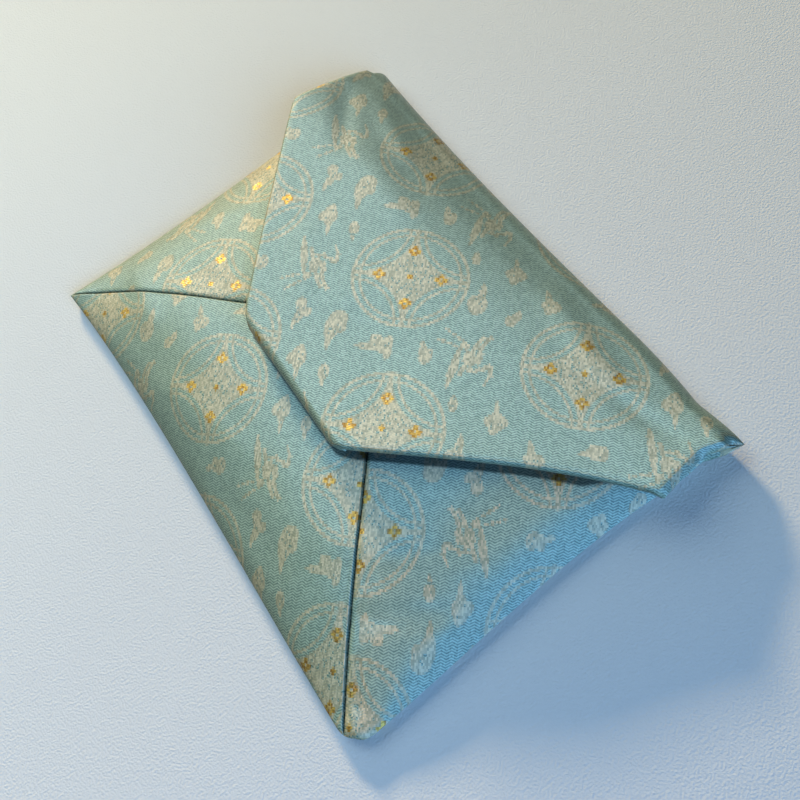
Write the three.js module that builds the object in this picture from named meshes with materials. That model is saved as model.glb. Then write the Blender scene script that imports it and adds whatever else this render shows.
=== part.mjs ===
// Envelope pouch for teaware: one square of padded silk brocade, laid on the bias and folded.
// Three corners of the square come to the front and are sewn to each other along two diagonal
// seams. The fourth corner folds over them as a flap whose tip is turned under.
// Millimetres, +Z up. Origin: centre of the footprint, on the surface that the pouch lies on.
// X runs along the flap's fold, Y from the lower fold (-Y) to the flap's fold (+Y).
import * as THREE from 'three';

// Driving dimensions
const width = 180;              // between the two side folds, at the corners
const depth = 131;              // from the lower fold to the flap's fold, at the corners
const clothThickness = 2.2;     // brocade, wadding and backing together
const layerGap = 0.4;           // air between layers that lie on each other
const rimHeight = 3;            // height of the fold line of the side and lower folds
const crown = 12.6;             // how far the front swells above that fold line
const crownFlatness = 3.2;      // a higher power keeps the front flat for longer
const crownRound = 0.74;        // a lower power rounds the front more steeply into its folds
const rimZone = 6;              // width of the rounded band along a fold
const flapFoldRadius = 5;       // outside radius of the fold that carries the flap
const cornerDroop = 0.8;        // how far the pinched ends of that fold hang below its middle
const cornerInset = 2.45;       // cloth between the point of such an end and its inner side
const foldedCorner = 36;        // leg of the side panels' corner that lies under the flap
const rimInnerDrop = 0.4;       // the inside of a side fold lies this much below its fold line
const stripEndY = { left: 34, right: 38 };          // where the flap's straight ends stop
const flapTipY = -23.7;         // the flap's blunt tip
const flapNarrowing = { left: 1.095, right: 1.02 }; // how fast its edges run together
const flapOverhang = { left: 1.2, right: 3.9 };     // its straight ends stand out past the side folds
const overhangGrowth = { left: 1.2, right: 2.4 };   // a higher power keeps that near the straight end
const overhangFade = 25;        // and this far down the narrowing edges it is gone
const tipRounding = 3.5;        // the corners of the tip are round
const tipRoundingLength = 8;
const seamDepth = 0.7;          // soft trough along each seam
const seamHalfWidth = 1.8;
const column = 6.6;             // spacing of the mesh across the pouch

// Each seam runs up from the lower fold, inwards by a first share of its rise and a growing one
const seams = {
  left: { start: 90, lean: 1.085, bend: 0.001 },
  right: { start: 85, lean: 0.845, bend: 0.0047 },
};
const meetingY = 5;             // where the seams end and the lower panel's point stands free
const lowerTip = { x: -3.2, y: 10 };

// Two corners of the pouch are blunt: the cloth round them is pushed in
const bluntCorners = [
  { x: 90, y: -65.5, pushX: -2.4, pushY: 2.8, reach: 8 },
  { x: -90, y: 65.5, pushX: 2.4, pushY: 0, reach: 9 },
];

// Where the four sides run. Each is drawn in between its corners, at a third and two thirds of
// its length: left and right from the lower fold up, lower and flap fold from left to right.
const sides = {
  left: { start: -91.06, third: -88.76, twoThirds: -89.06, end: -90.86 },
  right: { start: 91.49, third: 88.29, twoThirds: 85.89, end: 89.99 },
  lower: { start: -66.35, third: -64.25, twoThirds: -65.25, end: -66.45 },
  flapFold: { start: 66.35, third: 63.75, twoThirds: 63.95, end: 65.15 },
};

// Height of the flap's upper face along its length, at its two ends and its middle
const flapSections = [
  { y: 60.5, left: 11.0, middle: 10.0, right: 10.0 },
  { y: 50.0, left: 15.4, middle: 14.0, right: 11.8 },
  { y: 36.0, left: 19.6, middle: 17.6, right: 14.0 },
  { y: 20.0, left: 21.2, middle: 19.9, right: 17.4 },
  { y: 0.0, left: 22.0, middle: 21.5, right: 21.0 },
  { y: -23.7, left: 22.2, middle: 22.3, right: 22.6 },
];

// Rows of the mesh along Y: the front and back share them, so that they meet at the side folds
const lowerRows = [-65.5, -63.5, -59.5, -53, -46.5, -40, -33.5, -27, -20.5, -14, -7.5, -1];
const upperRows = [5, 11.5, 18, 24.5, 31, 37.5, 44, 50, 55.5, 60.5];
const stripRows = [60.5, 55.5, 50.5, 46, 42, 38, 34];
const taperRows = [30, 24, 18, 12, 6, 0, -6, -12, -17, -21.3];
const hemRows = [-21.3, -16, -10, -4];

const halfWidth = width / 2;
const halfDepth = depth / 2;
const flapRootY = halfDepth - flapFoldRadius;
const coveredY = 36;                                       // above this the flap's ends lie on the bag
const cornerEndX = halfWidth - foldedCorner;               // edge of the side panel at the fold
const hemStep = 2 * clothThickness + layerGap;             // two layers of a fold pressed flat
const hemTopY = flapTipY + 24.2;
const sideOf = (x) => (x < 0 ? 'left' : 'right');

const lerp = (a, b, t) => a + (b - a) * t;
const clamp = (v, low, high) => Math.min(Math.max(v, low), high);
const softMin = (a, b, k = 1) => {
  const h = clamp(0.5 + (b - a) / (2 * k), 0, 1);
  return lerp(b, a, h) - k * h * (1 - h);
};

// Smooth curve through the four values of a side
function alongSide({ start, third, twoThirds, end }, t) {
  const s = 3 * t;
  return (-start * (s - 1) * (s - 2) * (s - 3) + 3 * third * s * (s - 2) * (s - 3)
    - 3 * twoThirds * s * (s - 1) * (s - 3) + end * s * (s - 1) * (s - 2)) / 6;
}

// The even grid of width by depth, drawn in with the sides
function drawnIn(x, y) {
  const across = (x + halfWidth) / width;
  const up = (y + halfDepth) / depth;
  const place = [
    lerp(alongSide(sides.left, up), alongSide(sides.right, up), across),
    lerp(alongSide(sides.lower, across), alongSide(sides.flapFold, across), up),
  ];
  bluntCorners.forEach((corner) => {
    const near = clamp(1 - Math.hypot(x - corner.x, y - corner.y) / corner.reach, 0, 1) ** 2;
    place[0] += corner.pushX * near;
    place[1] += corner.pushY * near;
  });
  return place;
}

// Upper face of the flap: smooth along its length, a shallow curve across it
function flapTop(x, y) {
  const last = flapSections.length - 1;
  let i = 0;
  while (i < last - 1 && y < flapSections[i + 1].y) {
    i += 1;
  }
  const [a, b] = [flapSections[i], flapSections[i + 1]];
  const before = flapSections[Math.max(i - 1, 0)];
  const after = flapSections[Math.min(i + 2, last)];
  const t = clamp((a.y - y) / (a.y - b.y), 0, 1);
  const at = (key) => {
    const slopeA = (b[key] - before[key]) / (b.y - before.y);
    const slopeB = (after[key] - a[key]) / (after.y - a.y);
    const span = b.y - a.y;
    return (2 * t ** 3 - 3 * t ** 2 + 1) * a[key] + (t ** 3 - 2 * t ** 2 + t) * span * slopeA
      + (3 * t ** 2 - 2 * t ** 3) * b[key] + (t ** 3 - t ** 2) * span * slopeB;
  };
  const across = clamp(x / flapReach(y, sideOf(x)), -1, 1);
  const [left, middle, right] = [at('left'), at('middle'), at('right')];
  return middle + ((right - left) / 2) * across + ((right + left) / 2 - middle) * across ** 2;
}

// Distance of the flap's edge from the middle, on the left or the right
function flapTaper(y, side) {
  return halfWidth - Math.max(stripEndY[side] - y, 0) * flapNarrowing[side];
}

function flapReach(y, side) {
  const nearTip = clamp(1 - (y - flapTipY) / tipRoundingLength, 0, 1);
  return flapTaper(y, side) - tipRounding * nearTip ** 2;
}

// Distance from the nearest of the two side folds and the lower fold
const fromRim = (x, y) => Math.min(halfWidth - Math.abs(x), y + halfDepth);

// Distance of a seam from the middle at a height on the front
function seamReach(y, side) {
  const up = y + halfDepth;
  return seams[side].start - up * (seams[side].lean + up * seams[side].bend);
}

function seamTrough(x, y) {
  const off = Math.abs(seamReach(y, sideOf(x)) - Math.abs(x)) / Math.SQRT2;
  const sewn = y <= meetingY + 0.01 ? 1 : 0;
  return sewn * seamDepth * Math.max(0, 1 - off / seamHalfWidth);
}

// Silk face of the front: a swelling between the folds that stays under what the flap folds in
function frontTop(x, y) {
  const swell = (1 - Math.abs(x / halfWidth) ** crownFlatness)
    * (1 - Math.abs(y / halfDepth) ** crownFlatness);
  const free = rimHeight + crown * Math.max(swell, 0) ** crownRound;
  const rise = clamp(fromRim(x, y) / rimZone, 0, 1) ** 0.6;
  const least = lerp(rimHeight, hemStep, rise);
  if (y < coveredY) {
    return Math.max(free, least) - seamTrough(x, y);
  }
  const roof = flapTop(x, y) - hemStep - layerGap;
  return Math.max(softMin(free, roof), least);
}

// Silk face of the back: flat where it lies, rounded up into the folds
function backBottom(x, y) {
  const inside = Math.min(fromRim(x, y), rimHeight);
  const run = rimHeight - inside;
  return rimHeight - Math.sqrt(rimHeight ** 2 - run ** 2);
}

// The cloth is a sheet of points, each with its silk side and its inner side, and triangles.
const silk = [];
const inner = [];
const triangles = [];
const named = new Map();

function point(key, silkAt, innerAt) {
  if (!named.has(key)) {
    named.set(key, silk.length);
    silk.push(silkAt);
    inner.push(innerAt);
  }
  return named.get(key);
}

const keyOf = (sheet, x, y) => `${sheet} ${x.toFixed(2)} ${y.toFixed(2)}`;
const placed = (x, y, z) => [...drawnIn(x, y), z];

// The flap and what is folded under it reach a little further out than the bag's side folds
function placedFlap(x, y, z) {
  const [px, py] = drawnIn(x, y);
  const side = sideOf(x);
  const above = y - stripEndY[side];
  const near = above > 0
    ? clamp(1 - above / (halfDepth - stripEndY[side]), 0, 1) ** overhangGrowth[side]
    : clamp(1 + above / overhangFade, 0, 1);
  return [px + Math.sign(x) * flapOverhang[side] * near * (x / halfWidth) ** 4, py, z];
}

// In the rounded band the inner side draws in faster than the silk side
function innerPlace(x, y) {
  const inX = Math.max(rimZone - (halfWidth - Math.abs(x)), 0) / 2;
  const inY = Math.max(rimZone - (y + halfDepth), 0) / 2;
  return [x - Math.sign(x) * inX, y + inY];
}

function rimPoint(x, y) {
  const [ix, iy] = innerPlace(x, y);
  return point(keyOf('rim', x, y), placed(x, y, rimHeight), placed(ix, iy, rimHeight - rimInnerDrop));
}

// Height of the middle of the flap's fold, which droops towards its pinched ends
function foldMiddle(x) {
  return flapFoldRadius - cornerDroop * clamp(1 - (halfWidth - Math.abs(x)) / rimZone, 0, 1);
}

// The two corners at the ends of the flap's fold, where four layers of the cloth meet
function foldCorner(side) {
  const x = side * halfWidth;
  const y = halfDepth;
  const z = foldMiddle(x);
  return point(`corner ${side}`, placed(x, y, z), placed(x - side * 3, y - cornerInset, z));
}

function frontPoint(x, y) {
  const d = fromRim(x, y);
  if (d < 0.01) {
    return rimPoint(x, y);
  }
  const step = 0.5;
  const slopeX = (frontTop(x + step, y) - frontTop(x - step, y)) / (2 * step);
  const slopeY = (frontTop(x, y + step) - frontTop(x, y - step)) / (2 * step);
  const drop = clothThickness * Math.min(Math.hypot(1, slopeX, slopeY), 1.25);
  const [ix, iy] = innerPlace(x, y);
  const below = Math.max(frontTop(ix, iy) - drop, clothThickness + layerGap);
  const iz = lerp(rimHeight - rimInnerDrop, below, clamp(d / rimZone, 0, 1));
  return point(keyOf('front', x, y), placed(x, y, frontTop(x, y)), placed(ix, iy, iz));
}

function backPoint(x, y) {
  const d = fromRim(x, y);
  if (d < 0.01) {
    return rimPoint(x, y);
  }
  const [ix, iy] = innerPlace(x, y);
  const iz = lerp(rimHeight - rimInnerDrop, clothThickness, clamp(d / rimZone, 0, 1));
  return point(keyOf('back', x, y), placed(x, y, backBottom(x, y)), placed(ix, iy, iz));
}

// A point of the round fold that carries the flap: angle -90 on the back, 0 outermost, 90 on the flap
function foldPoint(x, degrees) {
  const side = Math.sign(x);
  if (halfWidth - Math.abs(x) < 0.01) {
    return foldCorner(side);
  }
  const angle = THREE.MathUtils.degToRad(degrees);
  const middle = foldMiddle(x);
  const at = (px, inset) => {
    const y = flapRootY + (flapFoldRadius - inset) * Math.cos(angle);
    return placed(px, y, middle + (middle - inset) * Math.sin(angle));
  };
  const [ix] = innerPlace(x, 0);
  return point(keyOf('fold', x, degrees), at(x, 0), at(ix, clothThickness));
}

// The tight fold inside it, where a side panel turns back under the flap, silk side inwards
function tuckPoint(x) {
  const side = Math.sign(x);
  const d = halfWidth - Math.abs(x);
  if (d < 0.01) {
    return foldCorner(side);
  }
  const out = clamp(1 - d / rimZone, 0, 1) ** 2 * (flapFoldRadius - 1);
  const [ix] = innerPlace(x, 0);
  return point(
    keyOf('tuck', x, 0),
    placed(x, flapRootY + layerGap / 2 + out, foldMiddle(x)),
    placed(ix, flapRootY + layerGap / 2 + clothThickness, foldMiddle(x)),
  );
}

// Inside the folds along the flap's straight ends the inner side draws in
const endInset = (x, d) => Math.sign(x) * clamp(1 - d / rimZone, 0, 1) * 1.5;

// Rise of a half round of two layers, at a distance from its outermost point
function roundOff(d) {
  const radius = hemStep / 2;
  return d < radius ? radius - Math.sqrt(radius ** 2 - (radius - d) ** 2) : 0;
}

// The flap and the layer under it share the fold along the flap's straight ends
function endFoldPoint(x, y) {
  const z = flapTop(x, y) - hemStep / 2;
  const inset = Math.sign(x) * clothThickness * 1.1;
  return point(keyOf('end', x, y), placedFlap(x, y, z), placedFlap(x - inset, y, z));
}

function flapPoint(x, y) {
  const d = halfWidth - Math.abs(x);
  const straight = y >= stripEndY[sideOf(x)] - 0.01;
  if (straight && d < 0.01) {
    return endFoldPoint(x, y);
  }
  const rounding = straight ? roundOff(d) : 0;
  const inset = straight ? endInset(x, d) : 0;
  const z = flapTop(x, y);
  return point(
    keyOf('flap', x, y),
    placedFlap(x, y, z - rounding),
    placedFlap(x - inset, y, z - clothThickness),
  );
}

// The folded corner under the flap: its silk side faces down
function underPoint(x, y) {
  const d = halfWidth - Math.abs(x);
  if (d < 0.01) {
    return endFoldPoint(x, y);
  }
  const z = flapTop(x, y) - hemStep;
  const inset = endInset(x, d);
  return point(
    keyOf('under', x, y),
    placedFlap(x, y, z + roundOff(d)),
    placedFlap(x - inset, y, z + clothThickness),
  );
}

// The tip's fold and the hem that it turns under
function tipPoint(x) {
  const z = flapTop(x, flapTipY) - hemStep / 2;
  return point(keyOf('tip', x, 0), placedFlap(x, flapTipY, z), placedFlap(x, flapTipY + clothThickness, z));
}

function hemPoint(x, y) {
  const z = flapTop(x, y) - hemStep;
  return point(keyOf('hem', x, y), placedFlap(x, y, z), placedFlap(x, y, z + clothThickness));
}

// Even columns between two ends, with extra ones where a fold or a seam needs them
function columns(from, to, extras = []) {
  const wanted = [from, to, ...extras.filter((x) => x > from + 0.5 && x < to - 0.5)];
  const count = Math.floor(halfWidth / column);
  for (let i = -count; i <= count; i += 1) {
    const x = i * column;
    if (x > from && x < to && wanted.every((other) => Math.abs(other - x) > column * 0.45)) {
      wanted.push(x);
    }
  }
  return wanted.sort((a, b) => a - b);
}

// Triangles between two neighbouring rows, each a list of { x, id } sorted by x
function stitch(upper, lower, silkUp) {
  let i = 0;
  let j = 0;
  while (i < upper.length - 1 || j < lower.length - 1) {
    const nextUpper = i < upper.length - 1 ? upper[i + 1].x : Infinity;
    const nextLower = j < lower.length - 1 ? lower[j + 1].x : Infinity;
    const useUpper = nextUpper <= nextLower;
    const third = useUpper ? upper[i + 1].id : lower[j + 1].id;
    const corners = [upper[i].id, lower[j].id, third];
    if (new Set(corners).size === 3) {
      triangles.push(silkUp ? corners : corners.reverse());
    }
    if (useUpper) {
      i += 1;
    } else {
      j += 1;
    }
  }
}

const rowOf = (xs, make) => xs.map((x) => ({ x, id: make(x) }));
const rimColumns = [-halfWidth + 2, -halfWidth + rimZone, halfWidth - rimZone, halfWidth - 2];

function joinRows(rows, silkUp) {
  for (let k = 0; k + 1 < rows.length; k += 1) {
    stitch(rows[k], rows[k + 1], silkUp);
  }
}

const frontColumns = (y) => [...new Set(frontPieces(y).flat())];

// A row of the front in pieces that end at the two seams and at both banks of their troughs,
// so that neighbouring rows are joined seam to seam
function frontPieces(y) {
  const bank = seamHalfWidth * Math.SQRT2;
  const [left, right] = [-seamReach(y, 'left'), seamReach(y, 'right')];
  const middle = (left + right) / 2;
  const inner = [left - bank, left, Math.min(left + bank, middle - 0.2),
    Math.max(right - bank, middle + 0.2), right, right + bank];
  const ends = [-halfWidth, ...inner.map((x) => clamp(x, -halfWidth, halfWidth)), halfWidth];
  return ends.slice(1).map((to, k) => {
    const from = ends[k];
    return to - from < 0.01 ? [from] : columns(from, to, rimColumns);
  });
}

// Back, from the flap's fold down to the lower fold
function makeBack() {
  const rows = [0, -45, -90].map((degrees) => rowOf(
    columns(-halfWidth, halfWidth, rimColumns),
    (x) => (degrees === -90 ? backPoint(x, flapRootY) : foldPoint(x, degrees)),
  ));
  const rest = [...lowerRows, ...upperRows.slice(0, -1)].reverse();
  rest.forEach((y) => {
    const even = columns(-halfWidth, halfWidth, rimColumns);
    const xs = y === -halfDepth ? frontColumns(y) : even;
    rows.push(rowOf(xs, (x) => backPoint(x, y)));
  });
  joinRows(rows, false);
}

// Lower part of the front, as far as the two seams run
function makeLowerFront() {
  const rows = [meetingY, ...[...lowerRows].reverse()].map((y) => (
    frontPieces(y).map((piece) => rowOf(piece, (x) => frontPoint(x, y)))
  ));
  rows[0].forEach((_, k) => joinRows(rows.map((row) => row[k]), true));
}

// Point of the lower panel, between the two side panels' free edges
function makeLowerTip() {
  const [left, right] = [-seamReach(meetingY, 'left'), seamReach(meetingY, 'right')];
  const base = frontColumns(meetingY).filter((x) => x >= left - 0.01 && x <= right + 0.01);
  const rows = [
    [{ x: lowerTip.x, id: frontPoint(lowerTip.x, lowerTip.y) }],
    rowOf(base, (x) => frontPoint(x, meetingY)),
  ];
  joinRows(rows, true);
}

// One side panel above the seams, and its corner turned back under the flap
function makeSidePanel(side) {
  const meetingX = seamReach(meetingY, sideOf(side));
  const upperX = cornerEndX - flapFoldRadius;
  const straight = halfDepth - stripEndY[sideOf(side)];
  const span = (edge, extras) => {
    const [a, b] = side < 0 ? [-halfWidth, -edge] : [edge, halfWidth];
    return columns(a, b, extras);
  };
  const base = frontColumns(meetingY).filter((x) => side * x >= meetingX - 0.01);
  const front = [rowOf(base, (x) => frontPoint(x, meetingY))];
  upperRows.slice(1).forEach((y) => {
    const edge = lerp(meetingX, upperX, (y - meetingY) / (flapRootY - meetingY));
    front.unshift(rowOf(span(edge, rimColumns), (x) => frontPoint(x, y)));
  });
  const tuck = rowOf(span(cornerEndX, rimColumns), tuckPoint);
  joinRows([tuck, ...front], true);
  const under = stripRows.filter((y) => halfDepth - y <= straight).map((y) => {
    const edge = lerp(cornerEndX, halfWidth, (halfDepth - y) / straight);
    return halfDepth - y === straight
      ? [{ x: side * halfWidth, id: endFoldPoint(side * halfWidth, y) }]
      : rowOf(span(edge, rimColumns), (x) => underPoint(x, y));
  });
  joinRows([tuck, ...under], false);
}

function makeFlap() {
  const all = columns(-halfWidth, halfWidth, rimColumns);
  const rows = [rowOf(all, (x) => foldPoint(x, 0)), rowOf(all, (x) => foldPoint(x, 45))];
  [...stripRows, ...taperRows].forEach((y) => {
    const extras = y >= stripEndY.left ? rimColumns : [];
    const across = columns(-flapReach(y, 'left'), flapReach(y, 'right'), extras);
    rows.push(rowOf(across, (x) => flapPoint(x, y)));
  });
  const tip = rowOf(columns(-flapReach(flapTipY, 'left'), flapReach(flapTipY, 'right')), tipPoint);
  joinRows([...rows, tip], true);
  const hem = hemRows.map((y) => {
    const beyond = 2 * flapTipY - y;
    const across = columns(-flapTaper(beyond, 'left'), flapTaper(beyond, 'right'));
    return rowOf(across, (x) => hemPoint(x, y));
  });
  joinRows([[{ x: 1, id: hemPoint(1, hemTopY) }], ...hem.reverse(), tip], false);
}

// Both sides of the sheet, and a wall along every free edge of the cloth
function closedCloth() {
  const positions = silk.flatMap((p, i) => [...p, ...inner[i]]);
  const index = triangles.flatMap(([a, b, c]) => [2 * a, 2 * b, 2 * c, 2 * c + 1, 2 * b + 1, 2 * a + 1]);
  const used = new Set(triangles.flatMap(([a, b, c]) => [`${a} ${b}`, `${b} ${c}`, `${c} ${a}`]));
  used.forEach((edge) => {
    const [a, b] = edge.split(' ').map(Number);
    if (!used.has(`${b} ${a}`)) {
      index.push(2 * b, 2 * a, 2 * a + 1, 2 * b, 2 * a + 1, 2 * b + 1);
    }
  });
  const geometry = new THREE.BufferGeometry();
  geometry.setAttribute('position', new THREE.Float32BufferAttribute(positions, 3));
  geometry.setIndex(index);
  geometry.computeVertexNormals();
  return geometry;
}

makeBack();
makeLowerFront();
makeLowerTip();
makeSidePanel(-1);
makeSidePanel(1);
makeFlap();

const brocade = new THREE.MeshStandardMaterial({ color: 0x86b3b0, roughness: 0.55, metalness: 0 });
const pouchCloth = new THREE.Mesh(closedCloth(), brocade);
pouchCloth.name = 'pouch_cloth';

const group = new THREE.Group();
group.add(pouchCloth);

export default group;
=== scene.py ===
import math

import bpy
import numpy as np
from mathutils import Matrix, Vector


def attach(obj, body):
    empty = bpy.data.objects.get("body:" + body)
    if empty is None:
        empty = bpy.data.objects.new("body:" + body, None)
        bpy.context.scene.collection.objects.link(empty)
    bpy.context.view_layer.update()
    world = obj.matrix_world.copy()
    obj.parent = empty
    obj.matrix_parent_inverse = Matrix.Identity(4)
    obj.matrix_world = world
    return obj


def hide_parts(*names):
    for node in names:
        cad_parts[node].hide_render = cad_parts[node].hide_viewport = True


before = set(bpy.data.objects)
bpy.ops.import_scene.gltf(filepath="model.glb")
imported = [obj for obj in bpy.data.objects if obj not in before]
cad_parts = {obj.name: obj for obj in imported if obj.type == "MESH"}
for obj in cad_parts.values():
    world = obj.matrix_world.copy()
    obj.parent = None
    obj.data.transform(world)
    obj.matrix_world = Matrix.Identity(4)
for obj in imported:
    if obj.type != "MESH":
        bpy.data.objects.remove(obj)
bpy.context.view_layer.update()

bl_info = {
    "name": "Brocade Teaware Pouch",
    "version": (1, 0, 0),
    "blender": (4, 5, 0),
    "location": "View3D > Sidebar > Pouch",
    "description": "A padded silk brocade pouch, one square of cloth folded like an envelope",
    "category": "Object",
}

MM = 0.001

# ---------------------------------------------------------------------------------------------
# The folded shape, in millimetres: the named sizes of the solid that it lies on, and finer ones.
# X runs along the flap's fold, Y from the lower fold to the flap's fold, +Z up.
# ---------------------------------------------------------------------------------------------
HALF_WIDTH = 90.0
HALF_DEPTH = 65.5
CLOTH = 2.2                 # brocade, wadding and backing together
AIR = 0.4                   # between layers that lie on each other
RIM_HEIGHT = 3.0            # fold line of the side and lower folds
CROWN = 12.6                # how far the front swells above it
CROWN_FLATNESS = 3.2
CROWN_ROUND = 0.74
RIM_ZONE = 6.0              # breadth of the rounded band along the folds
RIM_ROUND = 0.6
FOLD_RADIUS = 5.0           # the fold that carries the flap
TUCK_REACH = 4.0            # the tight fold inside it comes this far out at its ends
FOLD_SAG = 0.5              # its upper half is flatter than round, as the flap slopes into it
CORNER_DROOP = 0.8          # that fold's middle sinks by this at its ends
PINCH_ROUND = 2.2
CORNER_INSET = (3.0, 2.45)  # how far in from that fold's end its inner side stops, along x and y
FOLDED_CORNER = 36.0        # leg of the side panels' corner that lies under the flap
RIM_INNER_DROP = 0.4
INNER_GAP = 0.3             # least room that the inner side keeps
STEEPEST = 1.25             # on a steep slope the padding is pressed thinner from here on
STRIP_END_Y = {-1: 34.0, 1: 38.0}      # where the flap's straight ends stop, left and right
FLAP_TIP_Y = -23.7
FLAP_NARROWING = {-1: 1.095, 1: 1.02}
FLAP_OVERHANG = {-1: 1.2, 1: 3.9}
OVERHANG_GROWTH = {-1: 1.2, 1: 2.4}
OVERHANG_FADE = 25.0
OVERHANG_FLATNESS = 4
TIP_ROUNDING = {-1: 2.2, 1: 1.3}
TIP_ROUNDING_LENGTH = {-1: 6.0, 1: 4.0}
END_THICKNESS = CLOTH * 1.1
END_INSET = 1.5             # the padding stops this far short of the flap's straight ends
EDGE_BULGE = 0.9            # a free edge of the cloth is turned in and round
EDGE_ROUND = EDGE_BULGE * 1.1
STEP = 1.5                  # spacing of the mesh
LEAST_STEP = 0.05
CLOSEST = 0.45              # an even column is left out this near another one, in steps
TINY = 0.01
BLEND = 1.0                 # where one height gives way to another

# Where the four sides run: at one end, a third, two thirds and the other end of their length
SIDES = {
    "left": (-91.06, -88.76, -89.06, -90.86),
    "right": (91.49, 88.29, 85.89, 89.99),
    "lower": (-66.35, -64.25, -65.25, -66.45),
    "flap_fold": (66.35, 63.75, 63.95, 65.15),
}

# Each seam: start on the lower fold, share of its rise that it leans in by, and how that changes
SEAMS = {-1: (90.5, 0.839, 0.0122, -0.000107), 1: (85.7, 1.222, -0.00614, 0.00008)}
MEETING_Y = 5.0             # where the seams end and the lower panel's point stands free
LOWER_TIP = (-3.2, 10.0)
SEAM_DIP = (0.3, 1.0)       # the soft trough along a seam: depth, breadth
SEAM_SLIT = (1.1, 0.17)     # the slit between its two folded edges
SEAM_ROLL = (0.22, 0.5)     # the lower panel's edge stands up beside it: height, breadth
SEAM_ROLL_AT = 0.7
SEAM_RUN_OUT = 1.5

# Soft ridges (up) and troughs (down) in the cloth: from x, y to x, y, breadth, rise
FLAP_FOLDS = (
    (-86.0, 52.0, -58.0, 34.0, 3.2, -0.45),
    (-84.0, 60.0, -40.0, 50.0, 4.0, 0.5),
    (-60.0, 40.0, -20.0, 36.0, 6.0, 0.35),
    (20.0, 56.0, 66.0, 46.0, 4.5, 0.4),
    (50.0, 44.0, 86.0, 52.0, 3.0, -0.4),
    (-10.0, 6.0, 34.0, -4.0, 7.0, -0.35),
    (-44.0, 10.0, -14.0, -10.0, 5.0, 0.35),
)
FRONT_FOLDS = (
    (-84.0, -40.0, -52.0, -50.0, 4.5, 0.55),
    (-74.0, -58.0, -30.0, -52.0, 4.0, -0.2),
    (-40.0, -58.0, 10.0, -46.0, 5.0, 0.5),
    (0.0, -60.0, 44.0, -54.0, 4.0, -0.45),
    (-70.0, -30.0, -30.0, -20.0, 5.0, -0.35),
    (40.0, -44.0, 78.0, -10.0, 5.0, 0.4),
    (62.0, -50.0, 82.0, -22.0, 3.5, -0.4),
    (-82.0, -20.0, -62.0, 16.0, 4.5, 0.4),
)

# Where a corner is blunt or a side draws in near it: middle, push along x and y, reach
CORNER_PUSHES = (
    ((90.0, -65.5), (-2.4, 2.8), 8.0),
    ((-90.0, 65.5), (2.4, 0.0), 9.0),
    ((74.0, 65.5), (0.0, -1.7), 28.0),
    ((90.0, 54.0), (-1.6, 0.0), 10.0),
)

# Height of the flap's upper face along its length: y, left end, middle, right end
FLAP_SECTIONS = (
    (60.5, 11.0, 10.0, 10.0),
    (50.0, 15.4, 14.0, 11.8),
    (36.0, 19.6, 17.6, 14.0),
    (20.0, 21.2, 19.9, 17.4),
    (0.0, 22.0, 21.5, 21.0),
    (-23.7, 22.2, 22.3, 22.6),
)

FLAP_ROOT_Y = HALF_DEPTH - FOLD_RADIUS
COVERED_Y = 36.0
CORNER_END_X = HALF_WIDTH - FOLDED_CORNER
HEM_STEP = 2 * CLOTH + AIR
HEM_RADIUS = HEM_STEP / 2
HEM_TIP_X = 1.0             # the cloth's fourth corner, turned under the flap
HEM_TOP_Y = FLAP_TIP_Y + 24.2
HEM_ROW_STEP = 5.0


def evenly(start, end, step=STEP):
    """Even steps from start to end, both included."""
    return [float(v) for v in np.linspace(start, end, max(round(abs(end - start) / step), 1) + 1)]


# Rows of the mesh along Y, closer together where the cloth turns round a fold
LOWER_ROWS = [d - HALF_DEPTH for d in (0, 0.15, 0.5, 1.1, 2.0, 3.0)]
LOWER_ROWS += evenly(4.2 - HALF_DEPTH, MEETING_Y)[:-1]
UPPER_ROWS = evenly(MEETING_Y, FLAP_ROOT_Y)
STRIP_ROWS = evenly(FLAP_ROOT_Y, STRIP_END_Y[1]) + evenly(STRIP_END_Y[1], STRIP_END_Y[-1])[1:]
TAPER_ROWS = evenly(STRIP_END_Y[-1], FLAP_TIP_Y + HEM_RADIUS)[1:]
HEM_ROWS = evenly(FLAP_TIP_Y + HEM_RADIUS, HEM_TOP_Y, HEM_ROW_STEP)[:-1]
FOLD_TURNS = (15, 30, 45, 60, 75)
TIP_TURNS = (90, 60, 30, 0, -30, -60, -90)
EDGE_TURNS = (30, 60, 90, 120, 150)
RIM_COLUMNS = [s * (HALF_WIDTH - d) for s in (-1, 1) for d in (0.12, 0.45, 1.0, 1.7, 2.4, 3.0)]
SEAM_COLUMNS = (-2.6, -1.8, -1.2, -0.75, -0.4, -0.22, -0.1, 0, 0.1, 0.22, 0.4, 0.75, 1.2, 1.8, 2.6)
SEAM_LINE = 1 + SEAM_COLUMNS.index(0)


def lerp(a, b, t):
    return a + (b - a) * t


def clamp(v, low=0.0, high=1.0):
    return min(max(v, low), high)


def sign(v):
    return -1 if v < 0 else 1


def soft_min(a, b):
    """The lower of two heights, with a smooth change from one to the other."""
    h = clamp(0.5 + (b - a) / (2 * BLEND))
    return lerp(b, a, h) - BLEND * h * (1 - h)


def hump(off, rise, breadth):
    """A soft ridge's height at a distance from its line."""
    return rise * math.exp(-(off / breadth) ** 2)


def along_side(values, t):
    """Smooth curve through the four values of a side."""
    start, third, two_thirds, end = values
    s = 3 * t
    return (-start * (s - 1) * (s - 2) * (s - 3) + 3 * third * s * (s - 2) * (s - 3)
            - 3 * two_thirds * s * (s - 1) * (s - 3) + end * s * (s - 1) * (s - 2)) / 6


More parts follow.
